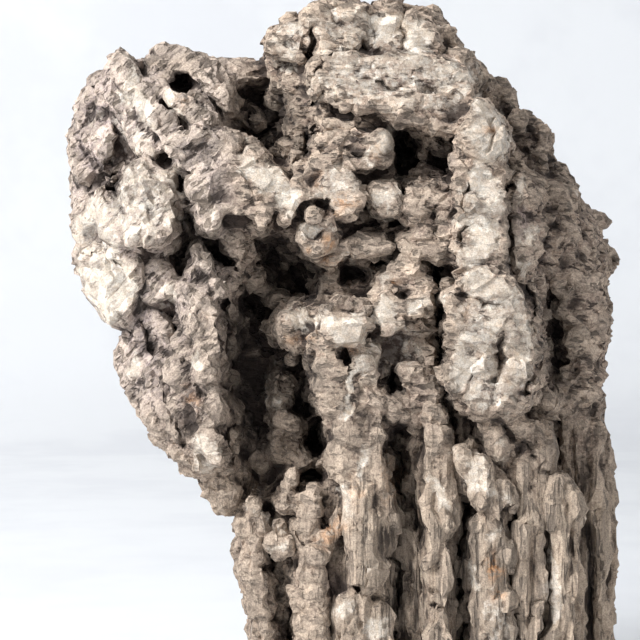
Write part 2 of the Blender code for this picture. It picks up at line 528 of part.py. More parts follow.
def press_hollows(mesh):
    """Pushes the front back along the sight lines, inside each hollow's ellipse."""
    points, normals = points_and_normals(mesh)
    eye = np.array(EYE)
    sight = points - eye
    shown = eye + sight * ((FRONT_Y - EYE.y) / sight[:, 1])[:, None]
    sight /= np.linalg.norm(sight, axis=1)[:, None]
    facing = (normals * sight).sum(axis=1) < 0.1
    shown += [stray(Vector(point)) for point in shown]
    push = np.zeros(len(points))
    for _, x, z, across, up, tilt, depth in HOLLOWS:
        c, s = math.cos(math.radians(tilt)), math.sin(math.radians(tilt))
        dx, dz = shown[:, 0] - x * MM, shown[:, 2] - z * MM
        u = (dx * c + dz * s) / (across * MM)
        w = (dz * c - dx * s) / (up * MM)
        inside = np.clip(1.1 - (u * u + w * w) ** 1.5, 0, 1)
        push = np.maximum(push, inside * depth * MM)
    set_points(mesh, points + sight * (push * facing)[:, None])


def facet(point):
    """How far a leaning facet of the crust stands out at a point: each Voronoi cell has its own plane."""
    _, seeds = noise.voronoi(point / FACET)
    lean = noise.cell_vector(seeds[0] * 7.3) - Vector((0.5, 0.5, 0.5))
    return (point - seeds[0] * FACET).dot(lean) * FACET_RISE * 2


def flute(point):
    """How far an upright flute stands out at a point."""
    drawn_out = Vector((point.x, point.y, point.z * 0.14)) / FLUTE
    return (0.5 - abs(noise.noise(drawn_out))) * 2 * FLUTE_DEPTH


def fluting(z):
    """The lower half is fluted: 1 there, 0 above, with a soft change between."""
    start, over = FLUTED
    return min(max((start - z) / over, 0), 1)


def weather(mesh):
    """Breaks the skin up into facets above and flutes below."""
    points, normals = points_and_normals(mesh)
    rise = np.empty(len(points))
    for index, co in enumerate(points):
        point = Vector(co)
        share = fluting(point.z)
        rise[index] = facet(point) * (1 - 0.6 * share) + flute(point) * share
    set_points(mesh, points + normals * rise[:, None])


def triangulate(obj):
    obj.modifiers.new("Triangulate", "TRIANGULATE")
    bake(obj)


def is_front(polygon):
    return polygon.center.y < SEAM_Y


def thin_one_side(obj, front, triangles):
    """Collapses the small faces on one side of the seam until that side has so many triangles."""
    mesh = obj.data
    here = sum(is_front(polygon) == front for polygon in mesh.polygons)
    there = len(mesh.polygons) - here
    group = obj.vertex_groups.new(name="side")
    side = [vert.index for vert in mesh.vertices if (vert.co.y < SEAM_Y) == front]
    group.add(side, 1, "REPLACE")
    thin = obj.modifiers.new("Thin", "DECIMATE")
    thin.vertex_group = group.name
    thin.use_collapse_triangulate = True
    thin.ratio = (there + triangles) / (there + here)
    bake(obj)
    obj.vertex_groups.clear()


def saw_foot(obj):
    """Cuts the rock off flat at z = 0 and closes the cut."""
    bm = bmesh.new()
    bm.from_mesh(obj.data)
    everything = bm.verts[:] + bm.edges[:] + bm.faces[:]
    bmesh.ops.bisect_plane(bm, geom=everything, plane_no=(0, 0, 1), clear_inner=True)
    rim = [edge for edge in bm.edges if edge.is_boundary]
    bmesh.ops.triangle_fill(bm, edges=rim, use_beauty=True, use_dissolve=False)
    bmesh.ops.recalc_face_normals(bm, faces=bm.faces[:])
    bm.to_mesh(obj.data)
    bm.free()


def keep_largest(obj):
    """Drops any crumb or sealed bubble that the remeshing left apart from the rock."""
    bm = bmesh.new()
    bm.from_mesh(obj.data)
    left = set(bm.verts)
    islands = []
    while left:
        seen = {left.pop()}
        front = list(seen)
        while front:
            for edge in front.pop().link_edges:
                for vert in edge.verts:
                    if vert in left:
                        left.remove(vert)
                        seen.add(vert)
                        front.append(vert)
        islands.append(seen)
    islands.sort(key=len)
    loose = [vert for island in islands[:-1] for vert in island]
    bmesh.ops.delete(bm, geom=loose, context="VERTS")
    bm.to_mesh(obj.data)
    bm.free()


def stone_material():
    material = bpy.data.materials.new("weathered limestone")
    material.use_nodes = True
    shader = material.node_tree.nodes["Principled BSDF"]
    shader.inputs["Base Color"].default_value = (0.36, 0.30, 0.25, 1)
    shader.inputs["Roughness"].default_value = 0.85
    shader.inputs["Metallic"].default_value = 0.0
    return material


def make_rock():
    bm = bmesh.new()
    ball = unit_ball()
    add_masses(bm, ball)
    add_front(bm, ball)
    rock = bpy.data.objects.new("rock", bpy.data.meshes.new("rock"))
    collection = bpy.data.collections.new("scholars_rock")
    bpy.context.scene.collection.children.link(collection)
    collection.objects.link(rock)
    bm.to_mesh(rock.data)
    fuse(rock, VOXEL)
    add_knobs(bm, ball, rock.data)
    add_flesh(bm)
    for _, face, right, up, corners in SLABS:
        add_slab(bm, face, right, up, corners)
    bm.to_mesh(rock.data)
    bm.free()
    fuse(rock, VOXEL)
    fill_seams(rock.data, SEAM_ROUNDS)
    press_hollows(rock.data)
    fuse(rock, VOXEL)
    weather(rock.data)
    fuse(rock, VOXEL)
    keep_largest(rock)
    triangulate(rock)
    thin_one_side(rock, False, BACK_TRIANGLES)
    thin_one_side(rock, True, FRONT_TRIANGLES)
    saw_foot(rock)
    rock.data.materials.append(stone_material())
    return rock


def main():
    for obj in list(bpy.data.objects):
        bpy.data.objects.remove(obj)
    rock = make_rock()
    print(len(rock.data.polygons), "faces")


if __name__ == "__main__":
    main()
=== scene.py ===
# %% [markdown]
# # A scholar's rock
# A scholar's rock is a weathered limestone that is kept for its shape. This one has a heavy head that
# overhangs on the left, a tall peak, a tongue that hangs on the right, and a fluted trunk below. Water
# has eaten caves and slots into it, and veins of white quartz stand out where the softer stone has
# gone. The lesson blocks the rock out in big chunks, fuses them, faces them with slabs, presses the
# caves in, and then weathers and colours the skin.

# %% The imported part
import itertools
import math
import random

import bmesh
import bpy
import numpy as np
from mathutils import Matrix, Vector, noise


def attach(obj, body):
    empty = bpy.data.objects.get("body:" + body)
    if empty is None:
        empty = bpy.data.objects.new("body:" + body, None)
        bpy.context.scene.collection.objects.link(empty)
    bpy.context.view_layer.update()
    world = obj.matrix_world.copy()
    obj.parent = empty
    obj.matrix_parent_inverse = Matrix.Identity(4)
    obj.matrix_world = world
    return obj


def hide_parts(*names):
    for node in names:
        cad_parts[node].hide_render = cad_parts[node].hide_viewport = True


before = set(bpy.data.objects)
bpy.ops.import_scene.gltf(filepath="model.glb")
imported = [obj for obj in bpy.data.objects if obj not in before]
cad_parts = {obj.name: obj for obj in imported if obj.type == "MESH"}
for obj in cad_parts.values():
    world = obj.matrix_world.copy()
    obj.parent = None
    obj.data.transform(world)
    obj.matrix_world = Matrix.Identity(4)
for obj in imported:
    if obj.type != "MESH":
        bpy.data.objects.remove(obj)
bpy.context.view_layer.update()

# %% [markdown]
# ## Drawing the rock in elevation
# A sculptor works from a front drawing. Here every form on the front is given by its place on such a
# drawing, in millimetres, and by how far its face stands out. The drawing is made from one fixed point,
# the eye, so what lies further back is drawn smaller, and its true place is found along the line of
# sight.

# %% The drawing's plane and eye
MM = 0.001
FRONT_Y = -50 * MM
EYE = Vector((-14, -650, 192)) * MM
SEED = 11


def drawn_scale(depth_y):
    """How much larger a thing is than it is drawn, when it lies behind the drawing plane."""
    return (depth_y - EYE.y) / (FRONT_Y - EYE.y)


def from_drawing(x, z, y):
    """The point at depth y that the drawing shows at x, z."""
    scale = drawn_scale(y)
    return Vector((EYE.x + (x - EYE.x) * scale, y, EYE.z + (z - EYE.z) * scale))


print("at the rock's back the drawing's scale is", round(drawn_scale(80 * MM), 2))

# %% [markdown]
# ## Noise
# Stone is uneven at every scale. Smooth noise gives swells and warps, and Voronoi cells give facets and
# pits. These functions work on all the points of a mesh at once, which is many times faster than one by
# one.

# %% Noise for many points at once
TURN = np.array(Matrix.Rotation(0.9, 3, Vector((1, 2, 3))))
HASH_PRIMES, CHANNEL_PRIME = (73856093, 19349663, 83492791), 50331653
HASH_FACTOR, BITS_32 = 0x45D9F3B, 0xFFFFFFFF
SEED_KEY = 997  # a cell's seed, in cells, times this and rounded is a whole number that names the cell


def cell_random(cells, channel):
    """A repeatable random number from 0 to 1 for each cell of a grid."""
    bits = (cells @ np.array(HASH_PRIMES) + channel * CHANNEL_PRIME) & BITS_32
    for _ in range(3):
        bits = ((bits ^ (bits >> 15)) * HASH_FACTOR) & BITS_32
    return (bits ^ (bits >> 16)) / BITS_32


def noise_at(points, size, channel=0):
    """Smooth noise from -1 to 1, with features of the given size."""
    grid = points / size
    base = np.floor(grid).astype(np.int64)
    share = grid - base
    share = share * share * (3 - 2 * share)
    total = np.zeros(len(points))
    for corner in itertools.product((0, 1), repeat=3):
        weight = np.prod(np.where(corner, share, 1 - share), axis=1)
        total += weight * cell_random(base + corner, channel)
    return total * 2 - 1


def fractal(points, size, channel=0, octaves=3, rough=0.5):
    """Noise on noise, each half as large as the last, and turned so that no grid shows."""
    total = np.zeros(len(points))
    for octave in range(octaves):
        points = points @ TURN
        total += noise_at(points, size / 2**octave, channel + octave) * rough**octave
    return total


def nearest_seed(points, size, channel=0):
    """The seed of the Voronoi cell that each point is in, and how many cells away it is."""
    grid = points / size
    base = np.floor(grid).astype(np.int64)
    best = np.full(len(points), 9.0)
    seeds = np.zeros_like(points)
    for offset in itertools.product((-1, 0, 1), repeat=3):
        cell = base + offset
        seed = cell + np.stack([cell_random(cell, channel + axis) for axis in range(3)], axis=1)
        gap = ((seed - grid) ** 2).sum(axis=1)
        nearer = gap < best
        best[nearer] = gap[nearer]
        seeds[nearer] = seed[nearer]
    return np.sqrt(best), seeds * size


def seed_names(seeds, size):
    return np.round(seeds / size * SEED_KEY).astype(np.int64)


def facets(points, size, steep, channel=0):
    """Each Voronoi cell leans as a plane of its own."""
    _, seeds = nearest_seed(points, size, channel)
    cells = seed_names(seeds, size)
    lean = np.stack([cell_random(cells, 7 + axis) for axis in range(3)], axis=1) - 0.5
    return ((points - seeds) * lean).sum(axis=1) * steep * 2


def drawn_out(points, direction, stretch):
    """Points squeezed along a direction, so that noise taken at them runs that way."""
    way = np.array(direction) / np.linalg.norm(direction)
    return points - (points @ way)[:, None] * way * (1 - 1 / stretch)


def smooth_step(values, low, high):
    share = np.clip((values - low) / (high - low), 0, 1)
    return share * share * (3 - 2 * share)


three = np.array([(0.1, 0, 0), (0.2, 0, 0), (0.3, 0, 0)])
print("noise at three points:", noise_at(three, 0.1).round(2))

# %% [markdown]
# ## The chunk
# Broken stone has flat faces that meet in blunt edges. A chunk could be carved with many cuts, but
# pulling a ball in to a handful of random planes gives the same look with one formula, whose power sets
# how sharp the edges are. Six of the planes are nearly square to each other, and in a block they also
# stay upright.

# %% A chunk of stone
CHUNK, BLOCK = "chunk", "block"
BALL_SUBDIVISIONS = 4
SQUARE_PLANES, RANDOM_PLANES = (0.74, 0.95), (0.86, 1.1)  # how near the centre a plane may lie, in radii
RANDOM_COUNT, SKEW, SHARPNESS, CORNER = 9, 0.2, 26, 1.19


def unit_ball():
    bm = bmesh.new()
    bmesh.ops.create_icosphere(bm, subdivisions=BALL_SUBDIVISIONS, radius=1)
    ball = bpy.data.meshes.new("ball")
    bm.to_mesh(ball)
    bm.free()
    return ball


def random_direction(dice):
    return Vector([dice.gauss(0, 1) for _ in range(3)]).normalized()


def breaking_planes(kind, dice):
    """The planes that a chunk is broken along, each as its normal over its distance."""
    planes = [random_direction(dice) / dice.uniform(*RANDOM_PLANES) for _ in range(RANDOM_COUNT)]
    turn = Matrix.Identity(3)
    if kind == CHUNK:
        turn = Matrix.Rotation(dice.uniform(0, math.pi), 3, random_direction(dice))
    for axis, side in itertools.product(range(3), (-1, 1)):
        normal = Vector((0, 0, 0))
        normal[axis] = side
        normal = (turn @ normal + SKEW * random_direction(dice)).normalized()
        planes.append(normal / dice.uniform(*SQUARE_PLANES))
    return planes


def set_points(mesh, points):
    mesh.vertices.foreach_set("co", points.ravel())
    mesh.update()


def add_chunk(bm, ball, name, centre, radii, tilt, kind):
    """Adds a ball whose surface is drawn in to a set of random planes, then sized, turned and placed."""
    directions = np.array([vert.co for vert in ball.vertices])
    planes = np.array(breaking_planes(kind, random.Random(name)))
    beyond = np.maximum(directions @ planes.T, 0) ** SHARPNESS
    reach = np.maximum(beyond.sum(axis=1) ** (1 / SHARPNESS), 1 / CORNER)
    turn = Matrix.Rotation(-math.radians(tilt), 3, "Y")
    shape = np.array(turn @ Matrix.Diagonal(radii))
    chunk = ball.copy()
    set_points(chunk, directions / reach[:, None] @ shape.T + np.array(centre))
    bm.from_mesh(chunk)
    bpy.data.meshes.remove(chunk)


def add_front(bm, ball, lumps):
    """Adds chunks drawn in elevation, each with its face so far in front of the rock's axis."""
    for name, x, z, face, across, up, deep, tilt, kind in lumps:
        y = (deep - face) * MM
        scale = drawn_scale(y)
        centre = from_drawing(x * MM, z * MM, y)
        radii = Vector((across * scale, deep, up * scale)) * MM
        add_chunk(bm, ball, name, centre, radii, tilt, kind)


rock_bm = bmesh.new()
ball = unit_ball()
print("each chunk starts as a ball of", len(ball.polygons), "faces")

# %% [markdown]
# ## The masses
# The bulk of the rock comes first: the overhanging head, the peak, the shoulder and the trunk on its
# foot. They are given in true millimetres, and most of them will be buried under the forms of the
# front.

# %% Blocking out the bulk
MASSES = [
    ("left head", -71, 2, 246, 37, 45, 48, 6, BLOCK),
    ("left side", -92, 4, 234, 17, 35, 44, 0, CHUNK),
    ("left cheek", -64, 0, 186, 26, 43, 46, 24, BLOCK),
    ("left jaw", -48, 2, 150, 22, 40, 32, 30, CHUNK),
    ("left web", -29, 30, 120, 20, 34, 54, 4, CHUNK),
    ("valley back", -28, 6, 166, 30, 40, 50, 0, BLOCK),
    ("hollow back", -38, 20, 252, 34, 46, 46, 0, BLOCK),
    ("peak", 6, 2, 272, 38, 46, 42, 0, CHUNK),
    ("core", 12, 8, 218, 54, 52, 64, 0, BLOCK),
    ("waist", 16, 8, 160, 56, 54, 56, 0, BLOCK),
    ("right shoulder", 54, 14, 222, 38, 52, 52, 14, CHUNK),
    ("right flank", 68, 14, 140, 42, 52, 110, -3, BLOCK),
    ("trunk", 28, 8, 92, 68, 54, 78, 0, BLOCK),
    ("foot", 25, 12, 16, 68, 60, 60, 0, BLOCK),
    ("back shoulder", -18, 36, 222, 68, 40, 60, 8, CHUNK),
    ("back trunk", 30, 36, 116, 60, 42, 96, -4, CHUNK),
]

for name, x, y, z, across, deep, up, tilt, kind in MASSES:
    centre, radii = Vector((x, y, z)) * MM, Vector((across, deep, up)) * MM
    add_chunk(rock_bm, ball, name, centre, radii, tilt, kind)
print(len(MASSES), "masses")

# %% [markdown]
# ## The front, region by region
# Each line is one form: its name, its place on the drawing, how far its face stands out, its half sizes
# across, up and in depth, its lean, and how it is broken. A real carver would know these forms by name
# too.

# %% The overhanging head
HEAD = [
    ("grey mass", -98, 272, 34, 12, 20, 26, 0, CHUNK),
    ("crusty ridge", -88, 279, 46, 9, 18, 22, 12, BLOCK),
    ("top knob", -69, 292, 38, 14, 8, 20, -8, BLOCK),
    ("dipping slab", -68, 279, 50, 16, 6, 16, -40, BLOCK),
    ("slab end", -56, 282, 44, 6, 8, 14, -30, CHUNK),
    ("parallel slab", -50, 278, 38, 14, 5, 16, -40, BLOCK),
    ("rough block", -56, 251, 64, 21, 15, 22, -16, BLOCK),
    ("rough block edge", -41, 249, 62, 8, 16, 18, 12, CHUNK),
    ("block tip", -58, 237, 61, 6, 12, 14, 6, CHUNK),
    ("block nib", -38, 234, 58, 5, 8, 10, 6, CHUNK),
    ("pale boulder", -83, 238, 57, 15, 17, 22, 45, BLOCK),
    ("pitted crust", -88, 224, 52, 12, 7, 16, 4, CHUNK),
    ("white side", -100, 238, 38, 12, 20, 28, 0, CHUNK),
    ("white heel", -96, 209, 42, 12, 16, 26, 24, BLOCK),
    ("quartz lump", -77, 206, 52, 10, 9, 18, 0, CHUNK),
    ("low quartz", -92, 196, 48, 8, 8, 16, 0, CHUNK),
    ("pitted band", -82, 178, 46, 9, 19, 20, 16, BLOCK),
    ("white edge", -88, 173, 36, 5, 10, 16, 14, CHUNK),
    ("crusty rib", -62, 196, 58, 7, 25, 18, 3, BLOCK),
    ("rib knob", -66, 178, 60, 6, 8, 12, 0, CHUNK),
    ("pink slab", -66, 162, 57, 9, 13, 16, 10, BLOCK),
    ("nodules", -58, 140, 52, 9, 11, 14, 20, CHUNK),
    ("cheek edge", -73, 153, 40, 8, 14, 18, 30, CHUNK),
    ("jaw", -64, 140, 44, 8, 8, 16, 34, CHUNK),
    ("chin", -52, 125, 45, 7, 9, 16, 30, CHUNK),
]
add_front(rock_bm, ball, HEAD)
print(len(HEAD), "forms on the head")

# %% The dark valley below the head
VALLEY = [
    ("valley rib", -43, 156, 34, 6, 30, 14, 0, CHUNK),
    ("valley knob", -45, 172, 38, 4, 6, 12, 0, CHUNK),
    ("blade", -32, 165, 42, 3, 18, 16, -3, CHUNK),
    ("bridge nodule", -27, 189, 48, 8, 7, 14, 12, CHUNK),
    ("hanging lump", -41, 213, 47, 9, 11, 16, 20, CHUNK),
    ("upper hanging lump", -47, 227, 50, 6, 5, 14, 20, CHUNK),
    ("cave spur", -20, 199, 46, 4, 6, 12, -20, CHUNK),
    ("white tooth", -29, 243, 58, 7, 8, 12, 20, BLOCK),
    ("shell hollow rim", -35, 142, 38, 12, 4, 14, 0, CHUNK),
]
add_front(rock_bm, ball, VALLEY)
print(len(VALLEY), "forms in the valley")

# %% The peak
PEAK = [
    ("left knob", -26, 300, 36, 10, 11, 18, 0, CHUNK),
    ("summit", -6, 308, 38, 13, 12, 22, 0, CHUNK),
    ("pale lobe", 13, 309, 34, 8, 11, 18, 0, CHUNK),
    ("white dome", 25, 305, 33, 8, 11, 18, 0, CHUNK),
    ("grey dome", 34, 302, 22, 6, 12, 18, 8, CHUNK),
    ("corner", 41, 290, 40, 9, 9, 18, 30, CHUNK),
    ("main plate", 20, 281, 54, 28, 15, 26, -8, BLOCK),
    ("plate left", -9, 284, 50, 10, 15, 20, 8, CHUNK),
    ("stepped ledge", -3, 264, 57, 14, 9, 18, -6, BLOCK),
    ("white flake", 9, 262, 58, 4, 7, 10, -20, CHUNK),
    ("rear crest", -42, 287, 22, 19, 9, 24, 0, BLOCK),
    ("shell rim", -27, 281, 40, 8, 9, 16, -42, BLOCK),
]
add_front(rock_bm, ball, PEAK)
print(len(PEAK), "forms on the peak")

# %% The knotted middle
MIDDLE = [
    ("ring nodule", -11, 242, 64, 13, 12, 18, 0, CHUNK),
    ("nodule cap", -17, 252, 60, 9, 5, 14, -12, BLOCK),
    ("small nodule", 12, 240, 57, 6, 7, 12, 0, CHUNK),
    ("yellow nodule", -16, 225, 61, 7, 6, 12, 20, CHUNK),
    ("pocket rim", 2, 221, 56, 15, 4, 14, 10, BLOCK),
    ("right shelf", 27, 221, 56, 13, 4, 14, -15, BLOCK),
    ("upper shelf", 32, 243, 54, 11, 5, 14, 0, BLOCK),
    ("fan", 12, 205, 58, 6, 6, 12, 20, CHUNK),
    ("quartz bulge", -4, 192, 63, 9, 8, 16, -20, CHUNK),
    ("bulge flank", -13, 190, 58, 7, 9, 16, 0, CHUNK),
    ("crystal knot", 14, 195, 60, 6, 8, 14, 0, CHUNK),
    ("knot", 8, 180, 56, 5, 5, 12, 0, CHUNK),
    ("white bridge", 29, 201, 58, 9, 4, 12, 12, CHUNK),
    ("bridge foot", 23, 193, 55, 5, 8, 12, 0, CHUNK),
    ("right middle", 24, 177, 52, 8, 14, 16, 0, BLOCK),
]
add_front(rock_bm, ball, MIDDLE)
print(len(MIDDLE), "knots")

# %% The central column and the trunk's left
COLUMN = [
    ("column left", -11, 168, 56, 8, 16, 16, 12, CHUNK),
    ("column vein", 1, 168, 60, 5, 16, 14, 0, CHUNK),
    ("column waist", -2, 144, 58, 8, 18, 16, 0, BLOCK),
    ("column right", 7, 148, 56, 5, 15, 14, -4, CHUNK),
    ("column shelf", 23, 159, 54, 10, 8, 14, 0, BLOCK),
    ("column knee", 2, 125, 60, 8, 14, 16, 0, CHUNK),
    ("column shin", 8, 104, 60, 7, 23, 16, 3, BLOCK),
    ("thin ridge", -1, 98, 57, 4, 30, 14, 0, CHUNK),
    ("strut", -9, 112, 53, 3, 15, 10, -26, CHUNK),
    ("left ridge", -18, 108, 52, 4, 14, 12, 6, CHUNK),
    ("left ridge foot", -19, 84, 53, 6, 17, 14, 8, CHUNK),
    ("grey nodule", -9, 84, 47, 4, 7, 10, 0, CHUNK),
    ("low nodule", -14, 66, 50, 5, 4, 10, 0, CHUNK),
    ("wide base", 3, 64, 56, 12, 13, 16, 0, BLOCK),
    ("elbow", -29, 120, 47, 7, 6, 12, 10, CHUNK),
    ("slanting rib", -37, 111, 44, 3, 12, 12, 50, CHUNK),
    ("edge column", -40, 92, 40, 6, 20, 18, 12, BLOCK),
    ("edge column foot", -33, 60, 42, 6, 22, 18, 4, CHUNK),
    ("lobe", -34, 87, 43, 4, 6, 10, 10, CHUNK),
    ("inner rib", -26, 88, 42, 4, 16, 12, -6, CHUNK),
]
add_front(rock_bm, ball, COLUMN)
print(len(COLUMN), "forms on the column")

# %% The ribs of the trunk
RIBS = [
    ("brown rib", 24, 88, 50, 4, 38, 14, -2, BLOCK),
    ("rope rib", 32, 108, 56, 5, 54, 16, 0, BLOCK),
    ("twisted rib top", 50, 128, 58, 7, 19, 16, 40, CHUNK),
    ("twisted rib waist", 53, 103, 55, 5, 16, 14, 0, CHUNK),
    ("twisted rib knob", 58, 105, 56, 4, 6, 12, 0, CHUNK),
    ("twisted rib foot", 55, 74, 58, 8, 24, 16, 0, BLOCK),
    ("white flare", 47, 89, 54, 4, 7, 12, 0, CHUNK),
    ("grey rib", 70, 93, 54, 5, 42, 14, 0, BLOCK),
    ("pale rib", 81, 86, 51, 6, 36, 16, -2, BLOCK),
    ("cracked block", 64, 138, 53, 14, 14, 18, 0, BLOCK),
    ("dark nodules", 47, 147, 42, 5, 9, 12, 0, CHUNK),
    ("fibre block", 22, 152, 51, 9, 9, 14, 0, BLOCK),
]
add_front(rock_bm, ball, RIBS)
print(len(RIBS), "ribs")

# %% The hanging tongue and its neck
TONGUE = [
    ("tongue", 54, 182, 68, 18, 29, 22, 0, BLOCK),
    ("tongue cheek", 42, 171, 70, 6, 9, 14, 14, CHUNK),
    ("tongue lip", 57, 160, 70, 12, 8, 16, 12, CHUNK),
    ("tongue rib", 71, 182, 61, 3, 24, 16, 0, CHUNK),
    ("pale block", 50, 206, 67, 10, 7, 16, 0, BLOCK),
    ("neck", 51, 230, 60, 12, 25, 20, 3, BLOCK),
    ("white cap", 53, 266, 60, 9, 11, 18, 14, CHUNK),
    ("lower cap", 52, 252, 60, 7, 6, 16, 0, CHUNK),
    ("second rib", 68, 229, 51, 6, 23, 16, -6, BLOCK),
    ("spur", 76, 172, 41, 5, 4, 12, 0, CHUNK),
    ("low spur", 77, 162, 41, 5, 4, 12, -10, CHUNK),
]
add_front(rock_bm, ball, TONGUE)
print(len(TONGUE), "forms on the tongue")

# %% The side that falls away on the right
SIDE = [
    ("lean rib 1", 50, 280, 24, 5, 11, 22, 8, CHUNK),
    ("lean rib 2", 61, 271, 18, 6, 15, 26, 18, CHUNK),
    ("lean rib 3", 70, 259, 12, 7, 16, 26, 22, CHUNK),
    ("lean rib 4", 79, 243, 8, 7, 16, 26, 22, CHUNK),
    ("side wall", 80, 222, 32, 7, 24, 24, 6, BLOCK),
    ("side rib", 88, 212, 14, 8, 30, 30, 12, CHUNK),
    ("recess wall", 84, 178, 30, 8, 28, 24, 0, BLOCK),
    ("low side rib", 92, 112, 34, 8, 74, 24, 2, BLOCK),
]
add_front(rock_bm, ball, SIDE)
print(len(SIDE), "forms on the side")

# %% [markdown]
# ## One skin
# The chunks overlap in a heap. A Boolean union of so many bodies is slow and fragile, so a voxel remesh
# is used: it lays one skin over all of them, and what is thinner than a voxel is lost. The back and the
# sides, which are plainer, get chunks scattered over them at random before the skin is made again.

# %% Fusing the chunks
VOXEL = 2 * MM
KNOBS, KNOB_WIDTH, KNOB_TALL = 110, (8 * MM, 20 * MM), (1.1, 2.2)
KNOB_DEEP, KNOB_SUNK, KNOB_TILT = 0.8, (0.35, 0.8), (-25, 25)  # in widths, in widths, in degrees
KNOB_TOP, KNOB_FRONT, KNOB_EDGE = 240 * MM, 15 * MM, -18 * MM  # knobs stay below, behind and right of these
EDGE_SLOPE = (64 * MM, 0.5)  # the left edge leans out above this height, by so much
BACKWARD, LEVEL = 0.1, 0.6  # a knob sits where the skin faces back by this much, and up by less than this


def bake(obj):
    """Replaces the object's mesh by what its modifiers make of it."""
    graph = bpy.context.evaluated_depsgraph_get()
    baked = bpy.data.meshes.new_from_object(obj.evaluated_get(graph))
    old = obj.data
    obj.modifiers.clear()
    obj.data = baked
    bpy.data.meshes.remove(old)


def fuse(obj, voxel):
    remesh = obj.modifiers.new("Fuse", "REMESH")
    remesh.mode = "VOXEL"
    remesh.voxel_size = voxel
    bake(obj)


def takes_knob(point):
    """Whether a knob may sit at a point: low and far back, and clear of the sloping left edge."""
    start, slope = EDGE_SLOPE
    edge = KNOB_EDGE - max(point.z - start, 0) * slope
    return point.z < KNOB_TOP and point.y > KNOB_FRONT and point.x > edge


def add_knobs(bm, ball, mesh):
    """Scatters upright chunks over the back and the sides of a skin."""
    dice = random.Random(SEED)
    facing = [v for v in mesh.vertices if v.normal.y > BACKWARD and v.normal.z < LEVEL]
    places = [v for v in facing if takes_knob(v.co)]
    for index, vert in enumerate(dice.sample(places, KNOBS)):
        width = dice.uniform(*KNOB_WIDTH)
        radii = Vector((width, width * KNOB_DEEP, width * dice.uniform(*KNOB_TALL)))
        centre = vert.co - vert.normal * width * dice.uniform(*KNOB_SUNK)
        add_chunk(bm, ball, f"knob {index}", centre, radii, dice.uniform(*KNOB_TILT), CHUNK)


rock = bpy.data.objects.new("weathered_rock", bpy.data.meshes.new("weathered_rock"))
bpy.context.scene.collection.objects.link(rock)
rock_bm.to_mesh(rock.data)
fuse(rock, VOXEL)
add_knobs(rock_bm, ball, rock.data)
print("the first skin has", len(rock.data.vertices), "points")

# %% [markdown]
# ## Flesh between the chunks
# A heap of chunks has deep gaps, and would look like a pile of boulders. Real forms grow out of each
# other. So a coarse copy of the skin is raised in its hollows only: each point moves towards the middle
# of its neighbours where that is outwards, and stays where it is inwards. This copy, drawn in a little,
# goes between the chunks as flesh, so that their edges stand out and their gaps are shallow.

# %% Flesh
FLESH_VOXEL, FLESH_FILLS, FLESH_SUNK = 4 * MM, 12, 2 * MM


def points_and_normals(mesh):
    points = np.empty(len(mesh.vertices) * 3)
    mesh.vertices.foreach_get("co", points)
    normals = np.empty(len(mesh.vertices) * 3)
    mesh.vertex_normals.foreach_get("vector", normals)
    return points.reshape(-1, 3), normals.reshape(-1, 3)


def neighbour_middles(mesh):
    """A function that gives the middle of each point's neighbours."""
    ends = np.empty(len(mesh.edges) * 2, dtype=int)
    mesh.edges.foreach_get("vertices", ends)
    one, other = ends.reshape(-1, 2).T
    size = len(mesh.vertices)
    count = np.maximum(np.bincount(np.concatenate((one, other)), minlength=size), 1)

    def middles(points):
        total = [
            np.bincount(one, axis[other], size) + np.bincount(other, axis[one], size) for axis in points.T
        ]
        return np.stack(total, axis=1) / count[:, None]

    return middles


def fill_seams(mesh, rounds):
    """Raises the points that lie below the middle of their neighbours, round after round."""
    middles = neighbour_middles(mesh)
    for _ in range(rounds):
        points, normals = points_and_normals(mesh)
        outward = ((middles(points) - points) * normals).sum(axis=1)
        set_points(mesh, points + normals * np.maximum(outward, 0)[:, None])


def add_flesh(bm):
    """Adds a coarse skin of everything in the mesh, filled up and drawn in by a few millimetres."""
    flesh = bpy.data.objects.new("flesh", bpy.data.meshes.new("flesh"))
    bpy.context.scene.collection.objects.link(flesh)
    bm.to_mesh(flesh.data)
    fuse(flesh, FLESH_VOXEL)
    fill_seams(flesh.data, FLESH_FILLS)
    points, normals = points_and_normals(flesh.data)
    set_points(flesh.data, points - normals * FLESH_SUNK)
    bm.from_mesh(flesh.data)
    bpy.data.objects.remove(flesh)


add_flesh(rock_bm)
print("the heap now has", len(rock_bm.verts), "points")

# %% [markdown]
# ## Slabs
# The largest forms of the front end in flat faces with a clear outline, because the stone splits along
# its beds. Each slab is drawn as a polygon with a leaning face, and is made into a prism that runs back
# along the lines of sight, with a small chamfer round its face.

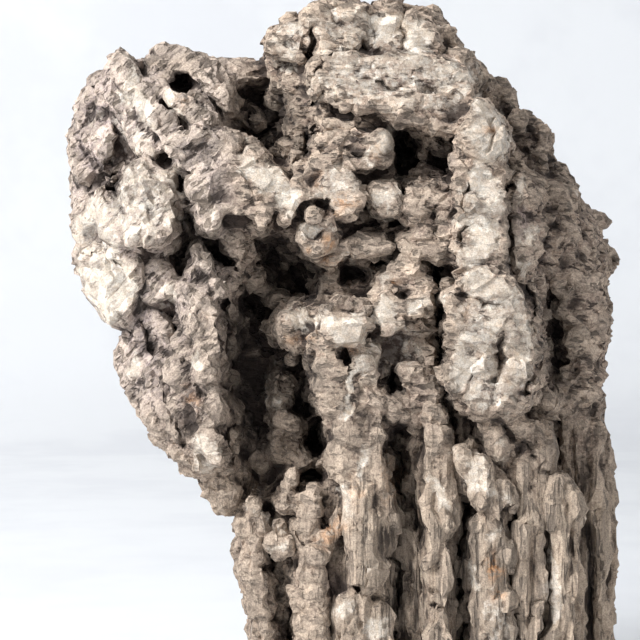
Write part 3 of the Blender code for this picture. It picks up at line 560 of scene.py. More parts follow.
# %% Slabs with drawn outlines
CHAMFER, SLAB_DEPTH = 1.6 * MM, 16 * MM
SLABS = [
    ("rough block", 67, 0.05, 0.15, [(-76, 262), (-66, 268), (-58, 269), (-50, 266), (-41, 262),
        (-36, 255), (-33, 237), (-37.5, 227.5), (-42, 234), (-54, 236), (-58, 227), (-64, 240),
        (-67, 250)]),
    ("boulder face", 59, -0.15, 0.3, [(-83, 256), (-74, 249), (-67, 238), (-70, 228), (-78, 222),
        (-84, 224), (-84, 240)]),
    ("boulder side", 57, -0.5, 0.2, [(-84, 256), (-83, 224), (-92, 222), (-101, 226), (-101, 239),
        (-93, 250)]),
    ("heel face", 45, -0.4, -0.1, [(-111, 219), (-100, 222), (-89, 220), (-86, 208), (-90, 196),
        (-98, 192), (-104, 202), (-109, 211)]),
    ("ridge band", 51, -0.3, 0.1, [(-98, 296), (-93, 298), (-80, 282), (-69, 266), (-74, 262), (-84, 273),
        (-93, 286)]),
    ("upper ridge", 51, -0.1, 0.3, [(-84, 290), (-79, 293), (-66, 281), (-56, 272), (-61, 269),
        (-72, 276)]),
    ("parallel ridge", 46, 0.1, 0.3, [(-63, 290), (-56, 291), (-46, 280), (-37, 271), (-42, 268),
        (-52, 277)]),
    ("cap", 42, 0.1, 0.4, [(-84, 296), (-79, 301), (-70, 301), (-60, 297), (-54, 290), (-62, 288),
        (-72, 291), (-80, 289)]),
    ("grey side", 36, -0.8, 0.1, [(-111, 277), (-106, 284), (-99, 288), (-97, 262), (-100, 250),
        (-111, 248), (-114, 262)]),
    ("long rib", 61, -0.15, 0.05, [(-66, 220), (-61, 223), (-57, 214), (-52, 203), (-57, 194), (-53, 181),
        (-58, 167), (-53, 157), (-57, 149), (-51, 137), (-57, 134), (-62, 146), (-66, 156), (-73, 160),
        (-74, 172), (-68, 183), (-66, 196), (-68, 208)]),
    ("flank", 48, -0.5, 0.1, [(-89, 192), (-80, 196), (-74, 190), (-73, 175), (-76, 160), (-71, 148),
        (-64, 140), (-62, 132), (-70, 136), (-79, 146), (-85, 158), (-91, 170), (-94, 182)]),
    ("dome", 37, 0, 0.3, [(19, 313), (24, 315), (30, 313), (33, 306), (33, 298), (30, 292), (22, 293),
        (19, 300)]),
    ("lobe face", 37, 0, 0.3, [(7, 315), (12, 318), (17, 315), (19, 308), (17, 302), (10, 301), (6, 307)]),
    ("summit face", 41, 0.1, 0.3, [(-20, 314), (-13, 318), (0, 318), (5, 314), (4, 305), (-2, 299),
        (-12, 298), (-20, 303)]),
    ("left knob face", 39, -0.1, 0.3, [(-35, 301), (-32, 308), (-24, 311), (-18, 308), (-17, 300),
        (-22, 295), (-31, 296)]),
    ("plate", 56, 0.08, 0.3, [(-18, 294), (-8, 297), (4, 297), (20, 297), (38, 295), (46, 288), (48, 278),
        (44, 266), (34, 268), (20, 272), (6, 276), (-6, 277), (-16, 281)]),
    ("step", 61, 0, 0.2, [(-19, 270), (-10, 272), (4, 270), (13, 266), (14, 256), (6, 252), (-6, 253),
        (-16, 257)]),
    ("upper shelf", 57, 0, 0.2, [(20, 247), (32, 248), (44, 245), (44, 239), (32, 239), (22, 241)]),
    ("flake", 63, 0.2, 0, [(6, 268), (11, 268), (14, 262), (11, 255), (7, 256), (5, 261)]),
    ("neck face", 62, 0.1, 0.05, [(43, 274), (48, 279), (54, 277), (60, 270), (61, 258), (60, 240),
        (61, 222), (61, 211), (52, 208), (42, 210), (40, 222), (41, 240), (40, 256), (43, 266)]),
    ("cap quartz", 65, 0.2, 0.2, [(45, 274), (50, 278), (56, 275), (60, 267), (59, 259), (52, 256),
        (46, 259), (43, 266)]),
    ("blade face", 54, 0.5, 0, [(62, 247), (67, 252), (72, 246), (73, 232), (72, 216), (68, 208),
        (63, 210), (62, 226)]),
    ("tongue face", 70, 0.15, -0.02, [(38, 200), (43, 208), (50, 211), (58, 210), (64, 206), (68, 198),
        (72, 186), (73, 170), (70, 159), (65, 155), (59, 152), (54, 153.5), (48, 157), (42, 162),
        (38, 166), (35.5, 172), (36, 180)]),
    ("tongue block", 72, 0.1, 0.2, [(43, 209), (50, 212), (58, 210), (61, 203), (56, 199), (46, 199),
        (41, 203)]),
    ("ring", 66, 0, 0.1, [(-24, 247), (-18, 254), (-8, 254), (0, 249), (2, 240), (-3, 233), (-12, 229),
        (-18, 233), (-16, 240), (-22, 241)]),
    ("tooth", 61, 0.3, 0.2, [(-36, 251), (-31, 250), (-24, 244), (-23, 238), (-28, 233), (-32, 238),
        (-36, 244)]),
    ("yellow face", 63, 0, 0.2, [(-22, 229), (-15, 230), (-9, 226), (-9, 221), (-16, 219), (-22, 222)]),
    ("pocket lip", 58, 0, 0.3, [(-9, 220), (-2, 224), (8, 225), (15, 222), (13, 217), (4, 219), (-4, 218),
        (-10, 214)]),
    ("right lip", 58, 0, 0.3, [(17, 227), (28, 227), (40, 221), (41, 215), (32, 217), (20, 220)]),
    ("middle knot", 57, 0, 0.1, [(13, 211), (20, 217), (28, 214), (30, 206), (24, 203), (16, 203)]),
    ("middle shelf", 54, 0, 0.3, [(18, 236), (30, 239), (43, 236), (43, 228), (32, 229), (20, 231)]),
    ("bridge", 61, 0, 0.2, [(20, 200), (28, 203), (38, 207), (40, 202), (33, 198), (24, 194), (19, 194)]),
    ("bulge", 66, 0, 0.1, [(-14, 197), (-6, 200), (4, 198), (7, 190), (2, 184), (-6, 184), (-13, 186)]),
    ("crystal", 62, 0, 0.1, [(8, 202), (14, 204), (19, 199), (19, 190), (13, 187), (8, 191)]),
    ("blade", 61, 0.1, 0, [(-18, 186), (-8, 186), (4, 182), (9, 172), (10, 160), (10, 135), (12, 125),
        (15, 112), (13, 98), (8, 84), (0, 86), (-2, 100), (-4, 125), (-10, 133), (-8, 145), (-9, 153),
        (-14, 157), (-17, 168), (-19, 178)]),
    ("middle block", 56, 0.1, 0, [(12, 172), (22, 174), (32, 168), (33, 158), (28, 151), (16, 150),
        (12, 158)]),
    ("first rib", 58, 0.1, 0, [(29, 160), (35, 162), (38, 150), (37, 130), (38, 110), (36, 90), (37, -30),
        (29, -30), (30, 90), (28, 120), (29, 140)]),
    ("slanting rib", 61, 0.1, 0, [(41, 140), (46, 143), (54, 133), (62, 124), (64, 116), (58, 111),
        (50, 120), (43, 130)]),
    ("second rib", 58, 0.1, 0, [(48, 112), (56, 114), (62, 112), (61, 95), (62, 75), (61, -30), (48, -30),
        (49, 80), (48, 98)]),
    ("third rib", 56, 0.2, 0, [(66, 135), (72, 136), (74, 120), (73, 100), (74, 80), (73, -30), (66, -30),
        (67, 85), (66, 110)]),
    ("fourth rib", 53, 0.5, 0, [(77, 126), (82, 129), (88, 120), (89, 80), (88, -30), (77, -30),
        (78, 90)]),
    ("cracked face", 54, 0.1, 0, [(50, 151), (62, 152), (74, 150), (77, 140), (76, 130), (68, 127),
        (62, 134), (54, 140)]),
    ("crest", 48, -0.2, 0.2, [(-45, 117), (-36, 118), (-29, 109), (-35, 107), (-43, 112)]),
    ("left rib", 56, -0.2, 0, [(-22, 124), (-17, 126), (-13, 112), (-14, 95), (-12, 80), (-13, -30),
        (-24, -30), (-23, 80), (-21, 100)]),
    ("edge rib", 45, -0.5, 0, [(-44, 108), (-39, 110), (-36, 96), (-33, 80), (-32, -30), (-39, -30),
        (-41, 76), (-45, 92)]),
    ("base rib", 57, 0, 0, [(-6, 82), (2, 82), (12, 78), (13, 60), (12, -30), (-7, -30), (-8, 62)]),
]


def pushed_back(point, distance):
    """The point moved away from the eye along its line of sight."""
    return point + (point - EYE).normalized() * distance


def add_slab(bm, face, right, up, corners):
    """Adds a prism whose face leans back by so much per millimetre to the right and upwards."""
    count = len(corners)
    middle_x, middle_z = (sum(values) / count for values in zip(*corners))
    ring = []
    for x, z in corners:
        y = right * (x - middle_x) + up * (z - middle_z) - face
        ring.append(bm.verts.new(pushed_back(from_drawing(x * MM, z * MM, y * MM), CHAMFER)))
    front = bm.faces.new(ring)
    back = [bm.verts.new(pushed_back(vert.co, SLAB_DEPTH)) for vert in ring]
    bm.faces.new(reversed(back))
    for index in range(count):
        after = (index + 1) % count
        bm.faces.new((ring[after], ring[index], back[index], back[after]))
    bmesh.ops.inset_individual(bm, faces=[front], thickness=CHAMFER)
    for vert in front.verts:
        vert.co = pushed_back(vert.co, -CHAMFER)


print(len(SLABS), "large slabs")

# %% [markdown]
# ## Small plates
# Smaller plates fill the places between the slabs. Then all of it is fused again, on a finer skin, and
# its tightest seams are filled.

# %% Small plates between the slabs
SLAB_VOXEL, SLAB_FILLS = 1.3 * MM, 2
PLATES = [
    ("white tooth", 65, 0.2, 0.2, [(-37, 252), (-31, 252), (-25, 245), (-22, 239), (-28, 231), (-32, 238)]),
    ("small nodule", 60, 0.1, 0.2, [(7, 246), (14, 247), (18, 241), (17, 234), (10, 233), (6, 239)]),
    ("left bridge", 58, 0.1, 0.1, [(21, 245), (27, 246), (30, 236), (31, 228), (25, 225), (21, 233)]),
    ("right bridge", 58, 0.1, 0.1, [(34, 243), (40, 244), (42, 234), (41, 225), (36, 223), (33, 233)]),
    ("rib filling", 57, -0.1, 0.0, [(-75, 157), (-66, 160), (-61, 149), (-61, 139), (-68, 141),
        (-74, 148)]),
    ("cleft plate", 50, -0.2, 0.1, [(-92, 275), (-86, 277), (-80, 268), (-77, 260), (-84, 256),
        (-90, 264)]),
    ("low plate", 57, 0.0, 0.1, [(-20, 232), (-12, 234), (-6, 228), (-9, 221), (-17, 222)]),
    ("waist plate", 60, -0.1, 0.0, [(-9, 150), (-2, 154), (5, 148), (8, 136), (3, 128), (-5, 130),
        (-9, 140)]),
    ("left post", 52, -0.3, 0.1, [(-47, 112), (-42, 114), (-38, 101), (-37, 84), (-35, 66), (-39, 60),
        (-41, 76), (-45, 94)]),
    ("cream strut", 54, 0.1, 0.3, [(-43, 120), (-38, 121), (-29, 108), (-26, 101), (-30, 98), (-36, 107)]),
    ("pointed plate", 53, 0.1, 0.3, [(-25, 133), (-20, 121), (-22, 116), (-31, 116)]),
    ("middle rib", 55, 0.1, 0.1, [(-25, 112), (-20, 111), (-16, 98), (-13, 82), (-18, 79), (-22, 96)]),
    ("orange strut", 58, 0.2, 0.3, [(-5, 118), (-1, 114), (-10, 102), (-15, 95), (-18, 98), (-11, 109)]),
    ("shin plate", 62, 0.1, 0.0, [(2, 112), (9, 116), (13, 106), (12, 92), (6, 86), (2, 96)]),
    ("knee plate", 60, 0.1, 0.0, [(48, 130), (56, 131), (60, 122), (56, 116), (49, 120)]),
]
for _, face, right, up, corners in SLABS + PLATES:
    add_slab(rock_bm, face, right, up, corners)
rock_bm.to_mesh(rock.data)
rock_bm.free()
fuse(rock, SLAB_VOXEL)
fill_seams(rock.data, SLAB_FILLS)
print(len(PLATES), "small plates, on a skin of", len(rock.data.vertices), "points")

# %% [markdown]
# ## Caves, slots and furrows
# Each hollow is an ellipse on the drawing: its middle, its half sizes, its lean and its depth. The skin
# inside it is pushed back along the line of sight, like a thumb into clay. Noise shifts the outline,
# because water never leaves a clean ellipse.

# %% Pressing in the hollows
HOLLOWS = [
    ("cave under the knob", -69, 287, 6, 3.5, -30, 28),
    ("shell", -36, 274, 14, 14, -30, 22),
    ("shell crevice", -20, 262, 3.5, 9, -32, 38),
    ("shell's left crevice", -40, 266, 3, 9, -40, 18),
    ("plate crevice", -15, 280, 1.8, 5, -25, 18),
    ("big cave", 19, 259, 7, 12, 10, 50),
    ("brown recess", 33, 255, 7, 6, 0, 18),
    ("head crevice", -95, 248, 2.0, 8, -30, 15),
    ("boulder shadow", -69, 224, 5, 16, 0, 25),
    ("block crevice", -70, 247, 3.5, 8, 20, 20),
    ("valley mouth", -56, 219, 5, 12, 50, 32),
    ("dark throat", -30, 214, 12, 16, 30, 30),
    ("valley", -40, 174, 12, 46, 0, 25),
    ("upper hole", -22, 209, 9, 12, 28, 48),
    ("flat recess", -21, 167, 8, 16, 0, 32),
    ("lower hole", -16, 145, 7, 10, 0, 48),
    ("slit", -18, 130, 4, 6, -30, 30),
    ("shell hollow", -35, 128, 8, 9, 0, 12),
    ("ring hollow", -14, 237, 4, 5, 20, 12),
    ("nodule hollow", 4, 236, 3, 5, 0, 20),
    ("left pocket", -1, 211, 7, 5.5, 0, 22),
    ("right pocket", 12, 215, 4, 5, 0, 32),
    ("pinhole", 7, 206, 1.6, 3.4, -15, 18),
    ("square hole", 34, 211, 4, 6, -5, 38),
    ("long slot", 34, 184, 4, 17, 0, 44),
    ("slot foot", 37, 155, 3, 16, 6, 35),
    ("side pocket", 15, 167, 5, 6.5, 0, 30),
    ("vein pocket", -4, 178, 3, 6, 0, 12),
    ("brown furrow", 17, 136, 5, 16, 0, 30),
    ("deep furrow", 17, 98, 4, 34, -3, 35),
    ("elbow hole", -34, 113, 3, 7, 20, 18),
    ("edge hole", -35, 97, 3, 7, 10, 15),
    ("strut hole", -5, 104, 3, 4, -20, 18),
    ("strut upper hole", -13, 113, 3, 4, -20, 18),
    ("rib gap", -31, 86, 2, 9, 8, 20),
    ("rib foot gap", -27, 71, 3, 8, -20, 15),
    ("black furrow", 42, 92, 4.6, 38, 0, 38),
    ("black furrow top", 46, 112, 3, 12, 8, 32),
    ("twist furrow", 63, 88, 2.6, 34, 0, 22),
    ("thin furrow", 75, 92, 2, 36, 0, 20),
    ("lip shadow", 47, 147, 5, 9, 0, 15),
    ("side shadow", 79, 184, 5, 26, 0, 20),
    ("side slot", 80, 146, 2.5, 14, 0, 20),
    ("neck groove", 61.5, 228, 2.2, 22, 2, 22),
    ("tongue furrow", 57, 176, 4, 11, -14, 10),
    ("dome gap", 20, 312, 2, 8, 0, 18),
    ("summit gap", 4, 303, 2.5, 4, 20, 12),
    ("knob gap", -18, 300, 2, 8, 0, 20),
]
HOLLOW_VOXEL = 1 * MM
JAGGED, STRAY_SIZE = 4 * MM, 9 * MM
FINER, FINE_SHARE = 2.7, 0.45  # the outlines also stray on a scale so many times finer, by this share
STRAY = 1.6  # how far a drawn place may stray, in reaches
NOISE_SEED = 1795472650  # the clock seeds noise_vector otherwise, and no two runs would be the same
noise.seed_set(NOISE_SEED)
BACK_FROM = 42 * MM  # what lies further back is the plain back, which the hollows don't reach


def drawn(points):
    """Where the drawing shows each point, and the line of sight to it."""
    sight = points - np.array(EYE)
    shown = np.array(EYE) + sight * ((FRONT_Y - EYE.y) / sight[:, 1])[:, None]
    return shown, sight / np.linalg.norm(sight, axis=1)[:, None]


def strayed(shown, size, reach):
    """Drawn places, shifted by noise so that an outline taken from them is ragged."""
    shift = np.stack([noise_at(shown, size, 40 + axis) for axis in range(3)], axis=1)
    return shown + shift * reach * STRAY


def ellipse(shown, x, z, across, up, tilt):
    """0 at an ellipse's centre and 1 on its outline, for each drawn place."""
    c, s = math.cos(math.radians(tilt)), math.sin(math.radians(tilt))
    dx, dz = shown[:, 0] - x * MM, shown[:, 2] - z * MM
    u = (dx * c + dz * s) / (across * MM)
    w = (dz * c - dx * s) / (up * MM)
    return u * u + w * w


def hollow_depth(shown):
    """How deep the hollows are at each drawn place, in metres."""
    push = np.zeros(len(shown))
    for _, x, z, across, up, tilt, depth in HOLLOWS:
        inside = np.clip(1.1 - ellipse(shown, x, z, across, up, tilt) ** 1.5, 0, 1)
        push = np.maximum(push, inside * depth * MM)
    return push


def press_hollows(mesh):
    points, normals = points_and_normals(mesh)
    shown, sight = drawn(points)
    facing = ((normals * sight).sum(axis=1) < 0.1) & (points[:, 1] < BACK_FROM)
    coarse = np.array([noise.noise_vector(Vector(place)) for place in shown / STRAY_SIZE])
    fine = np.array([noise.noise_vector(Vector(place)) for place in shown / STRAY_SIZE * FINER])
    push = hollow_depth(shown + (coarse + fine * FINE_SHARE) * JAGGED)
    set_points(mesh, points + sight * (push * facing)[:, None])


press_hollows(rock.data)
fuse(rock, HOLLOW_VOXEL)
print(len(HOLLOWS), "hollows")

# %% [markdown]
# ## Cracks
# Each crack is drawn as a line of points, with its width and its depth. The skin near the line goes in,
# deepest on the line itself.

# %% Scoring the cracks
CRACK_STRAY = (5 * MM, 1.6 * MM)  # the size of a crack's bends, and how far they reach
CRACKS = [
    ("head cleft", 1.8, 7, [(-92, 257), (-96, 248), (-100, 240)]),
    ("slab crack", 1.6, 9, [(-67, 243), (-64, 231), (-60, 222), (-50, 213)]),
    ("heel crack", 0.8, 2.5, [(-109, 218), (-104, 217), (-99, 214)]),
    ("low heel crack", 0.8, 2.5, [(-104, 220), (-97, 217), (-92, 214)]),
    ("cheek crack", 1.0, 4, [(-85, 191), (-81, 180)]),
    ("pink crack", 1.0, 4, [(-76, 168), (-76, 158), (-74, 152)]),
    ("jaw crack", 0.9, 3, [(-70, 150), (-67, 140)]),
    ("rib groove", 2.2, 8, [(-52, 200), (-51, 170), (-52, 150), (-50, 136)]),
    ("shell cleft", 2.2, 9, [(-45, 276), (-40, 266), (-35, 257)]),
    ("slab gap", 1.6, 5, [(-62, 270), (-55, 269), (-48, 266)]),
    ("summit slit", 1.2, 6, [(-19, 304), (-18, 296)]),
    ("second summit slit", 1.2, 5, [(-10, 299), (-14, 290)]),
    ("dome slit", 1.0, 4, [(20, 316), (19, 305), (17, 300)]),
    ("ledge line a", 0.8, 2.5, [(-18, 268), (-6, 267), (4, 264)]),
    ("ledge line b", 0.8, 2.5, [(-16, 261), (-4, 260), (6, 257)]),
    ("plate line a", 0.9, 3, [(-8, 276), (6, 276), (20, 272), (34, 266)]),
    ("plate line b", 0.8, 2.5, [(4, 288), (18, 286), (34, 280)]),
    ("plate line c", 0.8, 2.5, [(22, 246), (32, 245), (42, 241)]),
    ("neck slit", 1.3, 6, [(46, 244), (45, 234)]),
    ("low neck slit", 1.2, 6, [(43.5, 229), (43, 221)]),
    ("cap crack", 0.8, 2.5, [(54, 272), (56, 264), (53, 258)]),
    ("tongue crack", 1.0, 4, [(38, 203), (45, 201), (51, 198), (60, 199)]),
    ("lip slit", 0.9, 4, [(46, 170), (46, 166)]),
    ("block crack", 1.2, 6, [(61, 148), (65, 143), (68, 141), (74, 130)]),
    ("block branch", 1.0, 5, [(68, 141), (74, 143)]),
    ("low block branch", 1.0, 5, [(65, 143), (62, 134), (60, 128)]),
    ("column groove", 1.6, 5, [(4, 112), (4, 98), (3, 84)]),
    ("bulge groove", 1.4, 4, [(5, 199), (4, 188), (0, 180)]),
    ("long slot", 2.2, 12, [(33, 203), (33, 190), (35, 176), (37, 160), (39, 145)]),
    ("inner rib groove", 1.8, 9, [(-50, 200), (-52, 185), (-51, 168), (-50, 150), (-49, 137)]),
    ("tongue groove", 1.4, 7, [(70, 206), (72, 190), (72, 175), (69, 162)]),
    ("blade groove", 1.4, 7, [(61, 262), (61.5, 245), (62, 228), (62, 213)]),
    ("thread a", 0.7, 2.4, [(-34, 118), (-27, 114), (-20, 100), (-13, 85)]),
    ("thread b", 0.7, 2.4, [(-3, 96), (5, 93), (16, 90), (25, 87), (37, 80)]),
    ("thread c", 0.7, 2.4, [(28, 79), (38, 74), (46, 75.5), (74, 75)]),
    ("thread d", 0.5, 1.2, [(59, 72), (63, 69)]),
]


def line_distance(shown, corners):
    """How far each drawn place is from a line through the given corners, in metres."""
    nearest = np.full(len(shown), 1.0)
    flat = shown[:, [0, 2]]
    for start, end in itertools.pairwise(np.array(corners) * MM):
        run = end - start
        share = np.clip((flat - start) @ run / (run @ run), 0, 1)
        gap = np.linalg.norm(flat - start - share[:, None] * run, axis=1)
        nearest = np.minimum(nearest, gap)
    return nearest


def score_cracks(mesh):
    points, normals = points_and_normals(mesh)
    shown, sight = drawn(points)
    facing = (normals * sight).sum(axis=1) < 0
    ragged = strayed(shown, *CRACK_STRAY)
    push = np.zeros(len(points))
    for _, width, depth, corners in CRACKS:
        inside = np.clip(1 - line_distance(ragged, corners) / (width * MM), 0, 1)
        push = np.maximum(push, np.sqrt(inside) * depth * MM)
    set_points(mesh, points + sight * (push * facing)[:, None])


score_cracks(rock.data)
print(len(CRACKS), "cracks")

# %% [markdown]
# ## Where the quartz is
# Quartz resists the water that eats limestone, so it stands a little proud and stays smooth. Its
# patches are drawn as ellipses, as the hollows are, with how pure each one is. On the back, noise
# places them. The stains of rust and mauve, and the umber patches, are drawn in the same way, and only
# on the front. The umber patches are partly brown stain and partly painted shade, laid where the right
# flank, the dark valley, the shell and the caves lie in shadow.

# %% Patches of quartz, stain and painted shade
QUARTZ = [  # middle, half sizes, lean and purity
    (-90, 284, 4, 4, 0, 0.8), (-87, 283, 3, 14, 26, 0.7), (-73, 279, 3, 5, 0, 1.0),
    (-41, 253, 4, 9, 12, 1.0), (-58, 232, 2, 4, 0, 0.9), (-84, 239, 16, 14, 45, 0.6),
    (-98, 205, 11, 14, 24, 0.85), (-104, 226, 8, 16, 0, 0.75), (-75, 203, 5, 4, 0, 0.9),
    (-66, 178, 3, 4, 0, 1.0), (-59, 138, 5, 7, 0, 0.7), (-88, 172, 3, 7, 14, 1.0),
    (-32, 165, 1.2, 15, -3, 0.7), (-27, 294, 2.5, 2, 0, 1.0), (13, 310, 7, 8, 0, 0.9),
    (25, 304, 5, 8, 0, 1.0), (38, 293, 6, 3, 0, 0.9), (43, 285, 3, 3, 0, 0.9),
    (9, 262, 3.5, 6, -20, 0.9), (52, 266, 8, 11, 10, 1.0), (52, 252, 5, 3, 0, 0.9),
    (50, 234, 8, 24, 0, 0.7), (65, 245, 2.5, 6, 0, 0.9), (70, 226, 3, 5, 0, 0.8),
    (67, 215, 3, 4, 0, 0.8), (50, 206, 9, 6, 0, 0.75), (57, 194, 11, 6, 0, 0.6),
    (42, 171, 4.5, 6, 0, 1.0), (42, 164, 3, 3, 0, 1.0), (52, 160, 9, 5, 0, 0.6),
    (56, 182, 15, 26, 0, 0.6), (29, 201, 8, 3, 22, 0.9), (-9, 245, 9, 9, 0, 0.6),
    (-33, 247, 4, 6, 20, 1.0), (-27, 239, 5, 8, 20, 1.0), (13, 240, 5, 6, 0, 0.8),
    (-16, 226, 6, 4, 10, 1.0), (-6, 219, 3, 3, 0, 0.6), (0, 215, 2, 3, 0, 0.6),
    (-26, 192, 7, 3, -15, 0.7), (8, 176, 7, 9, 0, 0.55), (20, 182, 6, 8, 0, 0.5),
    (13, 205, 4, 4, 0, 0.7), (13, 196, 4, 5, 0, 1.0), (25, 197, 3, 3, 0, 1.0),
    (-9, 192, 8, 5, -10, 0.75), (-1, 188, 6, 6, 20, 0.8), (15, 198, 4, 5, 0, 0.9),
    (2, 173, 3, 5, 0, 0.9), (0, 164, 3, 4, 0, 1.0), (-1, 156, 3, 4, 0, 0.8), (-2, 120, 4, 6, 0, 0.85),
    (3, 135, 3, 5, 0, 0.7), (7, 90, 3, 3, 0, 0.9), (-31, 104, 1.6, 1.6, 0, 1.0),
    (-37, 113, 8, 2, -35, 0.6), (-4, 76, 4, 4, 0, 0.7), (8, 68, 5, 6, 0, 0.7),
    (-7, 110, 1.6, 8, -35, 0.6), (33, 124, 2, 4, 0, 0.9), (47, 89, 2, 5, 0, 0.9),
    (50, 129, 4, 14, 42, 0.6), (58, 105, 3, 4, 0, 0.7), (55, 74, 5, 12, 0, 0.5),
    (80, 84, 4, 14, 0, 0.8), (15, 288, 34, 11, 0, 0.5), (2, 308, 22, 11, 0, 0.45),
    (-28, 302, 9, 8, 0, 0.5), (-92, 262, 9, 18, 40, 0.4), (57, 142, 2, 2, 0, 0.9),
    (57, 134, 2, 2, 0, 0.9),
]
RUST = [
    (-4, 241, 5, 5, 0, 0.9), (-15, 248, 4, 3, 0, 0.5), (-11, 224, 3, 4, 0, 0.9),
    (-20, 221, 3, 2, 0, 0.8), (-8, 217, 4, 2, -30, 0.7), (-3, 210, 2, 5, 20, 0.5),
    (-22, 186, 6, 2, 30, 0.6), (-2, 181, 4, 2, -20, 0.5), (14, 207, 4, 2, 20, 0.5),
    (9, 259, 3, 5, 0, 0.4), (-7, 234, 5, 2, 0, 0.6), (-16, 240, 2, 4, 0, 0.5), (-71, 281, 5, 3, 0, 0.4),
    (-66, 160, 3, 6, 0, 0.4), (48, 262, 2, 6, 0, 0.35), (43, 192, 3, 8, 0, 0.35),
    (60, 172, 3, 10, 0, 0.3), (55, 267, 2, 2, 0, 0.8), (56, 93, 3, 5, 0, 0.9), (56, 82, 3, 4, 0, 0.7),
    (-9, 107, 4, 8, -40, 0.7), (1, 122, 4, 6, 0, 0.5), (17, 130, 6, 16, 0, 0.4),
]
MAUVE = [
    (-100, 264, 12, 26, 0, 0.9), (-70, 220, 9, 18, 0, 0.8), (-98, 225, 12, 24, 0, 0.6),
    (-66, 163, 8, 12, 0, 0.7), (-84, 182, 14, 24, 10, 0.5), (33, 255, 8, 7, 0, 0.8),
    (66, 233, 4, 9, 0, 0.9), (-9, 85, 5, 5, 0, 0.8),
]
# Umber patches: partly brown stain, partly painted shade on the shaded right flank, in the valley, the
# shell, the caves and the trunk's furrows.
UMBER_AND_SHADE = [
    (56, 285, 12, 8, -35, 0.9), (68, 271, 14, 9, -45, 0.9), (80, 246, 9, 22, 10, 0.8),
    (85, 190, 11, 50, 0, 0.7), (-69, 294, 14, 7, 0, 0.8), (-34, 275, 15, 14, -30, 0.75),
    (22, 106, 7, 40, 0, 0.8), (30, 237, 14, 9, 0, 0.5), (16, 228, 10, 8, 0, 0.5),
    (-46, 168, 8, 40, 0, 0.8), (-64, 172, 16, 36, -8, 0.75), (-4, 142, 16, 30, 0, 0.45),
    (44, 96, 34, 40, 0, 0.5), (-26, 158, 8, 24, 0, 1.0), (-10, 205, 12, 9, 0, 0.5),
    (10, 222, 20, 10, 0, 0.4), (-70, 222, 8, 18, 0, 0.7), (-96, 250, 6, 12, -30, 0.7),
    (46, 147, 8, 9, 0, 0.8), (-22, 166, 9, 18, 0, 0.8), (-2, 303, 9, 8, 0, 0.5),
    (62, 88, 3, 34, 0, 0.7), (75, 92, 3, 36, 0, 0.7),
]


def patch_share(shown, patches, soft=0.45):
    """How far each drawn place lies in a patch: 1 inside, 0 outside, times the patch's purity."""
    share = np.zeros(len(shown))
    for x, z, across, up, tilt, purity in patches:
        reach = np.sqrt(ellipse(shown, x, z, across, up, tilt))
        share = np.maximum(share, purity * smooth_step(1.25 - reach, 0, soft))
    return share


def quartz_share(points, normals):
    shown, sight = drawn(points)
    ragged = strayed(strayed(shown, 7 * MM, 3 * MM), 2.4 * MM, 1.1 * MM)
    front = smooth_step(-(normals * sight).sum(axis=1), -0.2, 0.15)
    hidden = smooth_step(fractal(points, 18 * MM, 30), 0.45, 0.75)
    on_front = patch_share(ragged, QUARTZ)
    return on_front * front + hidden * (1 - front) * 0.8


print(len(QUARTZ), "patches of quartz")

# %% [markdown]
# ## Weathering
# Three directions rule this stone. In the head the beds dip to the right, in the shoulder they lie
# nearly level, and in the trunk they stand on edge, so water has drawn the trunk out into upright
# flutes. Each kind of wear is a height along the skin's normal, and the heights are added up before the
# skin is moved once. A channel is a noise's own seed, which keeps one kind of wear from following
# another.

# %% Facets, ledges and ridges
FACET, FACET_RISE = 13 * MM, 0.26
FLUTE, FLUTE_DEPTH = 5.5 * MM, 1.6 * MM
PITTED, PIT_RADIUS = 0.4, 0.45  # the share of cells with a pit, and a pit's radius in cells
FINE_FACETS = ((8 * MM, 0.26, 70), (4 * MM, 0.15, 130))  # size, steepness and channel
QUARTZ_PROUD = 0.8 * MM
HEAD_WAY, PLATE_WAY, TRUNK_WAY = (0.77, 0.1, -0.64), (1, 0.2, -0.12), (0.03, 0, 1)
HEAD_ACROSS, PLATE_ACROSS = (0.6, -0.25, 0.76), (0.1, 0.25, 0.96)


def facet_rise(points, size, rise):
    """The leaning facets that the solid has too."""
    heights = np.empty(len(points))
    half = Vector((0.5, 0.5, 0.5))
    for index, co in enumerate(points):
        point = Vector(co)
        _, seeds = noise.voronoi(point / size)
        lean = noise.cell_vector(seeds[0] * 7.3) - half
        heights[index] = (point - seeds[0] * size).dot(lean) * rise * 2
    return heights


def flute_rise(points, spacing, depth):
    """The upright ridges that the solid has too."""
    upright = points * np.array((1, 1, 0.14)) / spacing
    return np.array([(0.5 - abs(noise.noise(Vector(point)))) * 2 * depth for point in upright])


def fluting(points):
    """The lower half is fluted, most of all on the right: 1 there, 0 above, with a soft change between."""
    low = np.clip((165 * MM - points[:, 2]) / (50 * MM), 0, 1)
    return low * (0.4 + 0.6 * smooth_step(points[:, 0], -20 * MM, 10 * MM))


def heading(points):
    """The head's share: 1 in the overhanging head and 0 elsewhere."""
    return smooth_step(-points[:, 0], 42 * MM, 58 * MM) * smooth_step(points[:, 2], 120 * MM, 170 * MM)


def ledges(points, across, spacing, height, channel):
    """Beds that end in ragged steps: a slow rise and a sudden drop, over and over."""
    way = np.array(across) / np.linalg.norm(across)
    count = points @ way / spacing + fractal(points, spacing * 3.2, channel) * 1.1
    step = count - np.floor(count)
    fade = smooth_step(noise_at(points, spacing * 4, channel + 9), -0.3, 0.4)
    return (smooth_step(step, 0.0, 0.12) - step) * height * fade


